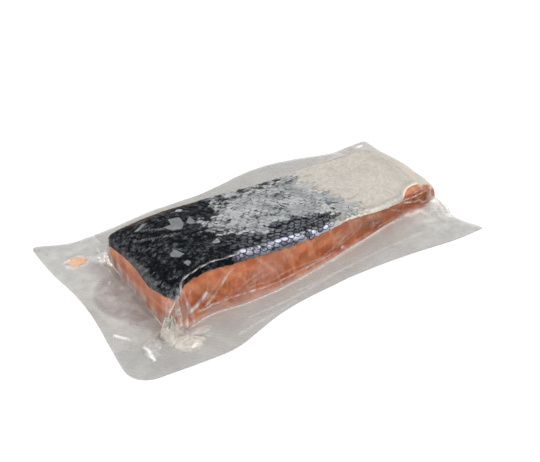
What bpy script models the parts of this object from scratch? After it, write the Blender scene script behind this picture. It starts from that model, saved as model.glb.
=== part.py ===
"""A salmon portion sealed in a clear vacuum bag, lying skin side up on its flat underside.

The solid is what the closed bag encloses: the body drawn tight over the portion and the
flat rim of film round it. Lengths in metres, X along the portion, Y to the back, Z up.
"""
import math

import bmesh
import bpy
from mathutils import Vector

# The lengths are first set out from the near left bottom corner of the portion.
PORTION_RIGHT = 0.2075
PORTION_BACK = 0.0800
RIM_THICKNESS = 0.0010
RIM_WAVE = 0.0005
CORNER_RADII = {"near_left": 0.014, "far_left": 0.004, "near_right": 0.002, "far_right": 0.003}

# Outline of the bag, station by station: x over y for the ends, y over x for the long sides.
LEFT_RIM = ((-0.026, -0.0338), (-0.010, -0.0337), (0.000, -0.0332), (0.010, -0.0323), (0.020, -0.0313),
            (0.030, -0.0302), (0.040, -0.0295), (0.050, -0.0293), (0.060, -0.0297), (0.070, -0.0307),
            (0.080, -0.0322), (0.090, -0.0334), (0.100, -0.0341), (0.122, -0.0341))
RIGHT_RIM = ((-0.024, 0.2138), (-0.020, 0.2128), (-0.016, 0.2110), (-0.012, 0.2076), (-0.008, 0.2038),
             (-0.004, 0.2008), (0.000, 0.2004), (0.004, 0.2018), (0.008, 0.2032), (0.013, 0.2050),
             (0.020, 0.2084), (0.028, 0.2118), (0.040, 0.2132), (0.105, 0.2132))
FRONT_RIM = ((-0.034, -0.0206), (-0.022, -0.0212), (-0.010, -0.0234), (0.000, -0.0250), (0.010, -0.0254),
             (0.020, -0.0242), (0.030, -0.0218), (0.040, -0.0193), (0.050, -0.0170), (0.060, -0.0154),
             (0.072, -0.0141), (0.086, -0.0134), (0.100, -0.0132), (0.114, -0.0128), (0.128, -0.0133),
             (0.142, -0.0141), (0.156, -0.0152), (0.170, -0.0165), (0.184, -0.0181), (0.200, -0.0205),
             (0.214, -0.0218))
BACK_RIM = ((-0.034, 0.1198), (-0.028, 0.1174), (-0.020, 0.1128), (-0.010, 0.1080), (0.000, 0.1074),
            (0.010, 0.1074), (0.020, 0.1080), (0.034, 0.1096), (0.048, 0.1106), (0.066, 0.1102),
            (0.082, 0.1098), (0.100, 0.1115), (0.116, 0.1137), (0.130, 0.1147), (0.144, 0.1139),
            (0.158, 0.1110), (0.170, 0.1080), (0.182, 0.1042), (0.192, 0.1014), (0.202, 0.1018),
            (0.214, 0.1024))

# How far in from its foot each side of the body rises, and the fillets at foot and crest.
LEFT_WALL = {"run": 0.0016, "toe": 0.0010, "crest": 0.0007}
LEFT_LEAN = 0.0024
FRONT_WALL = {"run": 0.0058, "toe": 0.0030, "crest": 0.0026}
BACK_WALL = {"run": 0.0055, "toe": 0.0045, "crest": 0.0026}
END_RUN = 0.0190
END_TOE = 0.0022
END_POWER = 2.5

# How far back the front foot lies, station by station: the portion narrows to the right.
FRONT_FOOT = ((-0.034, 0.0020), (0.000, 0.0020), (0.012, 0.0045), (0.026, 0.0064), (0.046, 0.0036),
              (0.066, 0.0030), (0.089, 0.0045), (0.110, 0.0068), (0.132, 0.0100), (0.149, 0.0124),
              (0.164, 0.0150), (0.180, 0.0168), (0.192, 0.0152), (0.202, 0.0115), (0.214, 0.0080))

# How far the skin side stands out over that foot: at the near left corner and towards the thin end.
OVERHANG = ((-0.034, 0.0034), (0.003, 0.0034), (0.008, 0.0022), (0.013, 0.0006), (0.020, 0.0000),
            (0.040, 0.0000), (0.066, 0.0008), (0.080, 0.0022), (0.102, 0.0036), (0.116, 0.0048),
            (0.130, 0.0068), (0.149, 0.0096), (0.166, 0.0112), (0.180, 0.0100), (0.192, 0.0062),
            (0.204, 0.0018), (0.214, 0.0000))

# Height of the film over the front edge and over the back edge, station by station.
FRONT_CREST = ((-0.004, 0.0195), (0.000, 0.0205), (0.005, 0.0225), (0.012, 0.0272), (0.020, 0.0305),
               (0.031, 0.0328), (0.046, 0.0320), (0.060, 0.0300), (0.087, 0.0270), (0.105, 0.0250),
               (0.124, 0.0238), (0.138, 0.0218), (0.153, 0.0202), (0.170, 0.0190), (0.190, 0.0182),
               (0.210, 0.0175))
BACK_CREST = ((-0.004, 0.0205), (0.000, 0.0218), (0.009, 0.0256), (0.020, 0.0277), (0.034, 0.0281),
              (0.051, 0.0269), (0.066, 0.0264), (0.082, 0.0250), (0.105, 0.0224), (0.128, 0.0214),
              (0.160, 0.0206), (0.186, 0.0205), (0.210, 0.0185))
MIDDLE_CROWN = 0.0010

# Folds of spare film: start and end (x, y, height), half width, on the rim round the body.
FOLDS = (
    ((0.0075, 0.0100, 0.0210), (-0.0105, -0.0085, 0.0010), 0.0085),
    ((0.0110, 0.0090, 0.0160), (0.0070, -0.0150, 0.0010), 0.0065),
    ((0.1930, 0.0230, 0.0150), (0.1995, -0.0060, 0.0010), 0.0080),
    ((0.1870, 0.0690, 0.0180), (0.2010, 0.0900, 0.0010), 0.0080),
    ((0.0030, 0.0760, 0.0150), (-0.0080, 0.0880, 0.0010), 0.0060),
)
# Lumps under the film beside the body: centre, half lengths and height.
LUMPS = (
    ((0.0050, -0.0095), (0.0085, 0.0060), 0.0038),
    ((-0.0050, 0.0010), (0.0060, 0.0075), 0.0070),
    ((-0.0190, 0.0910), (0.0075, 0.0050), 0.0014),
    ((0.0000, 0.0400), (0.0200, 0.0250), 0.0010),
)

# Where the lines of the mesh run, as distances outwards and inwards from the foot.
RIM_STEPS = (1.0, 0.72, 0.50, 0.33, 0.20, 0.09)
LEFT_STEPS = (-0.0010, -0.0002, 0.0005, 0.0012, 0.0024, 0.0050, 0.0090, 0.0140)
FRONT_STEPS = (-0.0030, -0.0015, 0.0, 0.0013, 0.0026, 0.0039, 0.0052, 0.0066, 0.0084)
BACK_STEPS = (-0.0045, -0.0022, 0.0, 0.0014, 0.0028, 0.0042, 0.0058, 0.0080)
END_STEPS = (-0.0008, 0.0004, 0.0012, 0.0022, 0.0036, 0.0056, 0.0084, 0.0122, 0.0170, 0.0215)
LENGTH_LINES = 19
WIDTH_LINES = 11
SHARP_ANGLE = math.radians(38)


def bump(at, centre, spread):
    return math.exp(-(((at - centre) / spread) ** 2))


def between(at, table):
    """A smooth curve through the listed stations."""
    last = len(table) - 2
    n = 0
    while n < last and at > table[n + 1][0]:
        n += 1
    (x0, z0), (x1, z1) = table[n], table[n + 1]
    before = table[max(n - 1, 0)]
    after = table[min(n + 2, last + 1)]
    span = x1 - x0
    slope0 = (z1 - before[1]) / (x1 - before[0]) * span
    slope1 = (after[1] - z0) / (after[0] - x0) * span
    t = min(max((at - x0) / span, 0.0), 1.0)
    rest = 1 - t
    ends = z0 * rest * rest * (1 + 2 * t) + z1 * t * t * (1 + 2 * rest)
    return ends + slope0 * t * rest * rest - slope1 * t * t * rest


# Outline of the bag and of the body's foot, each as a function along its side.
def left_rim(y):
    return between(y, LEFT_RIM)


def right_rim(y):
    return between(y, RIGHT_RIM)


def front_rim(x):
    return between(x, FRONT_RIM)


def back_rim(x):
    return between(x, BACK_RIM)


def left_foot(y):
    return 0.0055 * min(max((0.012 - y) / 0.014, 0.0), 1.5) ** 1.7 - 0.0004


def right_foot(y):
    front_cut = min(max((0.030 - y) / 0.028, 0.0), 1.3)
    back_cut = min(max((y - 0.048) / 0.032, 0.0), 1.3)
    return PORTION_RIGHT - 0.0110 * front_cut ** 1.8 - 0.0065 * back_cut ** 1.5


def front_foot(x):
    return between(x, FRONT_FOOT)


def back_foot(x):
    return PORTION_BACK + 0.0035 * bump(x, -0.002, 0.014) - 0.0040 * bump(x, 0.200, 0.030)


def ramp(distance, wall):
    """0 outside the foot, 1 inside the crest, straight between with a fillet at each end."""
    run = wall["run"]
    toe = wall["toe"] / run
    crest = min(wall["crest"] / run, 0.49)
    t = distance / run
    if t <= -toe:
        return 0.0
    if t < toe:
        return (t + toe) ** 2 / (4 * toe)
    if t <= 1 - crest:
        return t
    if t < 1 + crest:
        return 1 - (1 + crest - t) ** 2 / (4 * crest)
    return 1.0


def round_end(distance):
    """The full, rounded profile of the belly end."""
    if distance <= -END_TOE:
        return 0.0
    t = min(max(distance / END_RUN, 0.0), 1.0)
    full = (1 - (1 - t) ** END_POWER) ** (1 / END_POWER)
    lift = min((distance + END_TOE) / (2 * END_TOE), 1.0)
    return full * lift ** 0.5


def body_share(x, y):
    across = ramp(y - front_foot(x), FRONT_WALL) * ramp(back_foot(x) - y, BACK_WALL)
    return across * ramp(x - left_foot(y), LEFT_WALL) * round_end(right_foot(y) - x)


def crown(x, y):
    t = min(max((y - 0.010) / 0.065, 0.0), 1.0)
    front = between(x, FRONT_CREST)
    back = between(x, BACK_CREST)
    return front + (back - front) * t + MIDDLE_CROWN * math.sin(math.pi * t)


def outside(x, y):
    """Distance out from the body's foot, for the gentle waves of the rim."""
    dx = max(left_foot(y) - x, x - right_foot(y), 0.0)
    dy = max(front_foot(x) - y, y - back_foot(x), 0.0)
    return math.hypot(dx, dy)


def underside(x, y):
    away = min(outside(x, y) / 0.018, 1.0)
    wave = 1.0 + 0.6 * math.sin(48 * x + 0.7) + 0.4 * math.sin(71 * y + 1.9)
    return RIM_WAVE * wave * away ** 2


def fold_height(x, y):
    """Film drawn down like a tent from the body to the rim."""
    height = 0.0
    for (x0, y0, z0), (x1, y1, z1), half in FOLDS:
        length_sq = (x1 - x0) ** 2 + (y1 - y0) ** 2
        t = ((x - x0) * (x1 - x0) + (y - y0) * (y1 - y0)) / length_sq
        t = min(max(t, 0.0), 1.0)
        off = math.hypot(x - x0 - t * (x1 - x0), y - y0 - t * (y1 - y0))
        crest = z0 + (z1 - z0) * t ** 0.8
        height = max(height, crest * max(1.0 - (off / half) ** 2, 0.0) ** 2)
    return height


def lump_height(x, y):
    height = 0.0
    for (cx, cy), (rx, ry), top in LUMPS:
        reach = ((x - cx) / rx) ** 2 + ((y - cy) / ry) ** 2
        height = max(height, top * max(1.0 - reach, 0.0) ** 0.5)
    return height


def film_top(x, y):
    floor = underside(x, y) + RIM_THICKNESS
    body = floor + (crown(x, y) - floor) * body_share(x, y)
    return max(body, floor + fold_height(x, y), floor + lump_height(x, y))


def leaned(x, y, z):
    """The left cut leans out a little towards its top, and the front face towards the thin end."""
    t = min(max((y - 0.020) / 0.050, 0.0), 1.0)
    rise = min(max((z - 0.0022) / (crown(x, y) - 0.0022), 0.0), 1.0)
    out = between(x, OVERHANG) * rise * (1 - t * t * (3 - 2 * t))
    return x - LEFT_LEAN * z / 0.020 * min(max(1 - x / 0.030, 0.0), 1.0), y - out


def lines(low_rim, low_foot, high_foot, high_rim, low_steps, high_steps, middle):
    """Positions of the mesh lines across the bag, from rim to rim."""
    low_out = low_foot + low_steps[0]
    high_out = high_foot - high_steps[0]
    low_in = low_foot + low_steps[-1]
    high_in = high_foot - high_steps[-1]
    found = [low_out + (low_rim - low_out) * share for share in RIM_STEPS]
    found += [low_foot + step for step in low_steps]
    found += [low_in + (high_in - low_in) * n / middle for n in range(1, middle)]
    found += [high_foot - step for step in reversed(high_steps)]
    found += [high_out + (high_rim - high_out) * share for share in reversed(RIM_STEPS)]
    return found


def x_lines(y):
    return lines(left_rim(y), left_foot(y), right_foot(y), right_rim(y),
                 LEFT_STEPS, END_STEPS, LENGTH_LINES)


def y_lines(x):
    return lines(front_rim(x), front_foot(x), back_foot(x), back_rim(x),
                 FRONT_STEPS, BACK_STEPS, WIDTH_LINES)


def rounded(x, y, corner, radius, side_x, side_y):
    """Draw the square corner of the bag in to an arc."""
    p = 1 - (corner[0] - x) * side_x / radius
    q = 1 - (corner[1] - y) * side_y / radius
    if p <= 0 or q <= 0:
        return x, y
    pull = max(p, q) / math.hypot(p, q)
    centre_x = corner[0] - side_x * radius
    centre_y = corner[1] - side_y * radius
    return centre_x + side_x * radius * p * pull, centre_y + side_y * radius * q * pull


def plan_points():
    """The mesh in plan: rows of (x, y) that follow the rim and the body's foot."""
    nominal_x = x_lines(0.045)
    nominal_y = y_lines(0.080)
    columns = [x_lines(y) for y in nominal_y]
    rows = [y_lines(x) for x in nominal_x]
    grid = [[(columns[j][i], rows[i][j]) for j in range(len(nominal_y))] for i in range(len(nominal_x))]
    corners = (("near_left", -1, -1), ("far_left", -1, 1), ("near_right", 1, -1), ("far_right", 1, 1))
    for name, side_x, side_y in corners:
        tip = grid[0 if side_x < 0 else -1][0 if side_y < 0 else -1]
        radius = CORNER_RADII[name]
        grid = [[rounded(x, y, tip, radius, side_x, side_y) for x, y in row] for row in grid]
    return grid


def clear_scene():
    for item in list(bpy.data.objects):
        bpy.data.objects.remove(item, do_unlink=True)


def film_material():
    material = bpy.data.materials.new("clear_film")
    material.use_nodes = True
    shader = material.node_tree.nodes["Principled BSDF"]
    shader.inputs["Base Color"].default_value = (0.62, 0.60, 0.55, 1.0)
    shader.inputs["Roughness"].default_value = 0.22
    material.diffuse_color = (0.62, 0.60, 0.55, 1.0)
    return material


def build_bag():
    plan = plan_points()
    across_x = len(plan) - 1
    across_y = len(plan[0]) - 1
    sheet = bmesh.new()
    bmesh.ops.create_grid(sheet, x_segments=across_x, y_segments=across_y, size=0.5)
    for vert in sheet.verts:
        x, y = plan[round((vert.co.x + 0.5) * across_x)][round((vert.co.y + 0.5) * across_y)]
        vert.co = (x, y, underside(x, y))
    raised = bmesh.ops.extrude_face_region(sheet, geom=sheet.faces[:])["geom"]
    for vert in [item for item in raised if isinstance(item, bmesh.types.BMVert)]:
        vert.co.z = film_top(vert.co.x, vert.co.y)
        vert.co.x, vert.co.y = leaned(*vert.co)
    bmesh.ops.recalc_face_normals(sheet, faces=sheet.faces[:])

    low = Vector([min(v.co[k] for v in sheet.verts) for k in range(3)])
    high = Vector([max(v.co[k] for v in sheet.verts) for k in range(3)])
    shift = Vector((-(low.x + high.x) / 2, -(low.y + high.y) / 2, -low.z))
    bmesh.ops.translate(sheet, vec=shift, verts=sheet.verts[:])

    mesh = bpy.data.meshes.new("vacuum_bag")
    sheet.to_mesh(mesh)
    sheet.free()
    mesh.materials.append(film_material())
    mesh.shade_smooth()
    mesh.set_sharp_from_angle(angle=SHARP_ANGLE)
    return bpy.data.objects.new("vacuum_bag", mesh)


def main():
    clear_scene()
    bag = build_bag()
    parts = bpy.data.collections.new("salmon_portion")
    bpy.context.scene.collection.children.link(parts)
    parts.objects.link(bag)


main()
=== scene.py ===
"""Looks for a skin-on salmon portion sealed in a clear vacuum bag.

The fish is flesh, skin and overlapping scales. The bag is one thin envelope of film drawn
tight over it, with folds at the corners, a trace of juice and a few loose bits in its rim.
"""
import math
from types import SimpleNamespace

import bmesh
import bpy
import numpy as np
from bpy.props import FloatProperty, FloatVectorProperty, IntProperty, PointerProperty
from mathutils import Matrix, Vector, noise


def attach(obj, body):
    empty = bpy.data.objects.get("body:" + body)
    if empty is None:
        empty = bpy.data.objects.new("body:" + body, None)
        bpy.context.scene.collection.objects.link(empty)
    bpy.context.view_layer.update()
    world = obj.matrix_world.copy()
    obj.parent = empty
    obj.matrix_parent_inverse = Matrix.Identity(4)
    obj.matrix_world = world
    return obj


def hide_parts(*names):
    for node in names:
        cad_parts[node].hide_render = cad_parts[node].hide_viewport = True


bl_info = {
    "name": "Vacuum-packed salmon portion",
    "version": (1, 0, 0),
    "blender": (4, 5, 0),
    "location": "3D View > Sidebar > Salmon pack",
    "description": "Builds a salmon portion with skin and scales, sealed in a clear bag",
    "category": "Object",
}

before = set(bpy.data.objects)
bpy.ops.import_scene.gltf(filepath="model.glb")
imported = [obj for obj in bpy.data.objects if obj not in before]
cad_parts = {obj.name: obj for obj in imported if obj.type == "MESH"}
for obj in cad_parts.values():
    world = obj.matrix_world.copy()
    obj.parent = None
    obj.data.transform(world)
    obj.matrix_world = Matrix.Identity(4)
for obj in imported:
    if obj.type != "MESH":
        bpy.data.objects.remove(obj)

BAG_NODE = "vacuum_bag"

# Shapes are worked out from the near left bottom corner of the fish, then moved here.
PORTION_CORNER = (-0.08954, -0.04570)

# Outline of the bag, station by station: x over y for the ends, y over x for the long sides.
LEFT_RIM = ((-0.026, -0.0338), (-0.010, -0.0337), (0.000, -0.0332), (0.010, -0.0323), (0.020, -0.0313),
            (0.030, -0.0302), (0.040, -0.0295), (0.050, -0.0293), (0.060, -0.0297), (0.070, -0.0307),
            (0.080, -0.0322), (0.090, -0.0334), (0.100, -0.0341), (0.122, -0.0341))
RIGHT_RIM = ((-0.024, 0.2138), (-0.020, 0.2128), (-0.016, 0.2110), (-0.012, 0.2076), (-0.008, 0.2038),
             (-0.004, 0.2008), (0.000, 0.2004), (0.004, 0.2018), (0.008, 0.2032), (0.013, 0.2050),
             (0.020, 0.2084), (0.028, 0.2118), (0.040, 0.2132), (0.105, 0.2132))
FRONT_RIM = ((-0.034, -0.0206), (-0.022, -0.0212), (-0.010, -0.0234), (0.000, -0.0250), (0.010, -0.0254),
             (0.020, -0.0242), (0.030, -0.0218), (0.040, -0.0193), (0.050, -0.0170), (0.060, -0.0154),
             (0.072, -0.0141), (0.086, -0.0134), (0.100, -0.0132), (0.114, -0.0128), (0.128, -0.0133),
             (0.142, -0.0141), (0.156, -0.0152), (0.170, -0.0165), (0.184, -0.0181), (0.200, -0.0205),
             (0.214, -0.0218))
BACK_RIM = ((-0.034, 0.1198), (-0.028, 0.1174), (-0.020, 0.1128), (-0.010, 0.1080), (0.000, 0.1074),
            (0.010, 0.1074), (0.020, 0.1080), (0.034, 0.1096), (0.048, 0.1106), (0.066, 0.1102),
            (0.082, 0.1098), (0.100, 0.1115), (0.116, 0.1137), (0.130, 0.1147), (0.144, 0.1139),
            (0.158, 0.1110), (0.170, 0.1080), (0.182, 0.1042), (0.192, 0.1014), (0.202, 0.1018),
            (0.214, 0.1024))

# The body of the pack: its far ends, and the walls round it (run, toe fillet, crest fillet).
PORTION_RIGHT = 0.2075
PORTION_BACK = 0.0800
LEFT_WALL = (0.0016, 0.0010, 0.0007)
FRONT_WALL = (0.0058, 0.0030, 0.0026)
BACK_WALL = (0.0055, 0.0045, 0.0026)
END_RUN = 0.0190
END_POWER = 2.5
END_TOE = 0.0022
LEFT_LEAN = 0.0024
TOE_TOP = 0.0022
# The fish inside the film: its bottom, its steeper front and feet, and the room at its sides.
FISH_BASE = 0.0005
FISH_FRONT_IN = 0.0007
FISH_TOE = 0.75
SIDE_GAP_SHARE = 0.8
FLESH_BELOW_SKIN = 0.0004
FLESH_BOTTOM = 0.00035
# The skin, the scales on it and the grey flakes, whose foot and top are heights over the fish.
SKIN_LENGTH = 0.1875
SKIN_WIDTH = 0.0800
SKIN_SHORT_OF_BACK = 0.0042
SKIN_LIFT = 0.00015
SCALE_MIDDLE = 0.00028
PATCH_FOOT = 0.0002
PATCH_TOP = 0.0007
BELLY_WEAVE = 620.0
# Flat stretches of the fine meshes between their crowded edges.
MIDDLE_LENGTH = 0.165
MIDDLE_WIDTH = 0.062
# The film's least thickness, where its left cut ends, and the floor and cut of what lies in the rim.
LEAST_THICKNESS = 0.0002
LEFT_CUT_END = 0.0030
RIM_FLOOR = 0.0004
CLOT_CUT = 0.0002
# The camera.
CAMERA_PLACE = (-0.2388, -0.3588, 0.3310)
CAMERA_TARGET = (0.0068, 0.0053, 0.0)
CAMERA_LENS = 58.6

FRONT_FOOT = ((-0.034, 0.0020), (0.000, 0.0020), (0.012, 0.0045), (0.026, 0.0064), (0.046, 0.0036),
              (0.066, 0.0030), (0.089, 0.0045), (0.110, 0.0068), (0.132, 0.0100), (0.149, 0.0124),
              (0.164, 0.0150), (0.180, 0.0168), (0.192, 0.0152), (0.202, 0.0115), (0.214, 0.0080))
FRONT_CREST = ((-0.004, 0.0195), (0.000, 0.0205), (0.005, 0.0225), (0.012, 0.0272), (0.020, 0.0305),
               (0.031, 0.0328), (0.046, 0.0320), (0.060, 0.0300), (0.087, 0.0270), (0.105, 0.0250),
               (0.124, 0.0238), (0.138, 0.0218), (0.153, 0.0202), (0.170, 0.0190), (0.190, 0.0182),
               (0.210, 0.0175))
BACK_CREST = ((-0.004, 0.0205), (0.000, 0.0218), (0.009, 0.0256), (0.020, 0.0277), (0.034, 0.0281),
              (0.051, 0.0269), (0.066, 0.0264), (0.082, 0.0250), (0.105, 0.0224), (0.128, 0.0214),
              (0.160, 0.0206), (0.186, 0.0205), (0.210, 0.0185))
CORNER_RADII = ((-1, -1, 0.014), (-1, 1, 0.004), (1, -1, 0.002), (1, 1, 0.003))

# How far the skin side stands out over the front foot: at the near left corner and the thin end.
OVERHANG = ((-0.034, 0.0034), (0.003, 0.0034), (0.008, 0.0022), (0.013, 0.0006), (0.020, 0.0000),
            (0.040, 0.0000), (0.066, 0.0008), (0.080, 0.0022), (0.102, 0.0036), (0.116, 0.0048),
            (0.130, 0.0068), (0.149, 0.0096), (0.166, 0.0112), (0.180, 0.0100), (0.192, 0.0062),
            (0.204, 0.0018), (0.214, 0.0000))

# Tents of film at the corners of the body: start and end (x, y, height), half width.
FOLDS = (
    ((0.0074, 0.0064, 0.0140), (-0.0030, -0.0025, 0.0042), 0.0056),
    ((0.1930, 0.0250, 0.0165), (0.1995, -0.0040, 0.0008), 0.0075),
    ((0.1940, 0.0200, 0.0120), (0.2004, 0.0040, 0.0062), 0.0080),
    ((0.1870, 0.0690, 0.0200), (0.2010, 0.0900, 0.0008), 0.0075),
    ((0.0030, 0.0760, 0.0150), (-0.0080, 0.0880, 0.0008), 0.0044),
)
# Clots of white fat pressed into the rim: centre, half lengths, height, turn, seed.
CLOTS = (
    (0.0044, -0.0086, 0.0088, 0.0066, 0.0038, -0.59, 81.0),
    (0.0004, 0.0050, 0.0094, 0.0052, 0.0122, 0.95, 82.0),
    (0.0118, -0.0020, 0.0050, 0.0028, 0.0014, 0.2, 85.0),
)
# Places where only the film bulges.
BULGES = (
    (-0.0130, -0.0006, 0.0078, 0.0056, 0.0034, 0.9, 84.0),
    (0.0165, -0.0060, 0.0060, 0.0040, 0.0014, 0.4, 95.0),
)
# The juice pool, the scrap of flesh and the bulge over it: centre, half lengths.
POOL = (-0.0020, 0.0445, 0.0225, 0.0245)
SCRAP = (-0.0165, 0.0895, 0.0062, 0.0048)
SCRAP_BUMP = (*SCRAP[:2], SCRAP[2] * 1.35, SCRAP[3] * 1.35)
# Creases over the front face: points (x, share of the face's height), half width, rise, whiteness. The
# whiteness is partly milky film and partly painted highlight, where bright lines and sparks stand for
# reflections.
FACE_CREASES = (
    (((0.0244, 0.13), (0.0338, 0.43), (0.0427, 0.74)), 0.0010, 0.0006, 0.55),
    (((0.0231, 0.25), (0.0297, 0.43), (0.0364, 0.64)), 0.0008, 0.0004, 0.35),
    (((0.0254, 0.07), (0.0434, 0.24), (0.0599, 0.50)), 0.0009, 0.0004, 0.40),
    (((0.0279, 0.06), (0.0490, 0.24), (0.0720, 0.40)), 0.0008, 0.0004, 0.30),
    (((0.0282, 0.63), (0.0266, 0.43), (0.0231, 0.25)), 0.0007, 0.0003, 0.30),
    (((0.0330, 0.10), (0.0450, 0.30), (0.0500, 0.55)), 0.0008, 0.0003, 0.22),
    (((0.0600, 0.10), (0.0700, 0.30), (0.0760, 0.60)), 0.0010, 0.0003, 0.16),
    # Painted highlight: the bright line along the foot of the front face.
    (((0.0193, 0.07), (0.0278, 0.06), (0.0483, 0.08), (0.0611, 0.04)), 0.0007, 0.0006, 0.80),
    (((0.0611, 0.04), (0.0688, 0.02), (0.0774, 0.04), (0.0970, 0.06), (0.1111, 0.08)),
     0.0008, 0.0006, 0.50),
    (((0.1111, 0.08), (0.1270, 0.04), (0.1393, 0.04), (0.1526, 0.04), (0.1673, 0.06), (0.1800, 0.08)),
     0.0006, 0.0005, 0.30),
    # Painted highlights: short sparks along the foot.
    (((0.1190, 0.10), (0.1208, 0.09)), 0.0009, 0.0004, 1.00),
    (((0.0905, 0.06), (0.0915, 0.05)), 0.0007, 0.0004, 0.90),
    (((0.0640, 0.04), (0.0652, 0.03)), 0.0007, 0.0004, 0.90),
    (((0.0440, 0.13), (0.0669, 0.16), (0.0758, 0.26), (0.0900, 0.20), (0.1040, 0.12)), 0.0008, 0.0004, 0.40),
    (((0.1405, 0.88), (0.1440, 0.60), (0.1469, 0.32)), 0.0010, 0.0004, 0.45),
    (((0.1364, 0.72), (0.1437, 0.48), (0.1530, 0.36)), 0.0009, 0.0004, 0.40),
    (((0.1249, 0.32), (0.1309, 0.46), (0.1364, 0.70)), 0.0009, 0.0004, 0.45),
    (((0.1158, 0.18), (0.1219, 0.50), (0.1247, 0.58)), 0.0009, 0.0004, 0.45),
    (((0.1000, 0.10), (0.1110, 0.24), (0.1240, 0.30)), 0.0008, 0.0004, 0.35),
    (((0.1596, 0.75), (0.1684, 0.42), (0.1740, 0.20)), 0.0009, 0.0004, 0.45),
    (((0.1120, 0.30), (0.1252, 0.48), (0.1436, 0.87)), 0.0009, 0.0003, 0.30),
    (((0.0137, 0.81), (0.0163, 0.65), (0.0176, 0.63)), 0.0006, 0.0003, 0.60),
    # Painted highlight: the thin bright line along the front crest.
    (((0.0133, 1.10), (0.0145, 1.14), (0.0180, 1.12), (0.0250, 1.10), (0.0315, 1.10), (0.0385, 1.09),
      (0.0450, 1.13), (0.0520, 1.22)), 0.00034, 0.0003, 1.00),
    (((0.0140, 0.21), (0.0183, 0.24), (0.0228, 0.33), (0.0258, 0.41)), 0.0017, 0.0005, 0.75),
    (((0.1135, 1.14), (0.1218, 1.14), (0.1318, 1.10), (0.1410, 1.08), (0.1525, 1.08), (0.1593, 1.05),
      (0.1705, 0.94)), 0.0006, 0.0003, 0.70),
    # Painted highlight: a spark near the foot towards the thin end.
    (((0.1522, 0.14), (0.1540, 0.12)), 0.0010, 0.0005, 1.00),
    (((0.1435, 0.64), (0.1468, 0.28), (0.1445, 0.12), (0.1410, 0.07)), 0.0008, 0.0004, 0.45),
)
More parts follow.
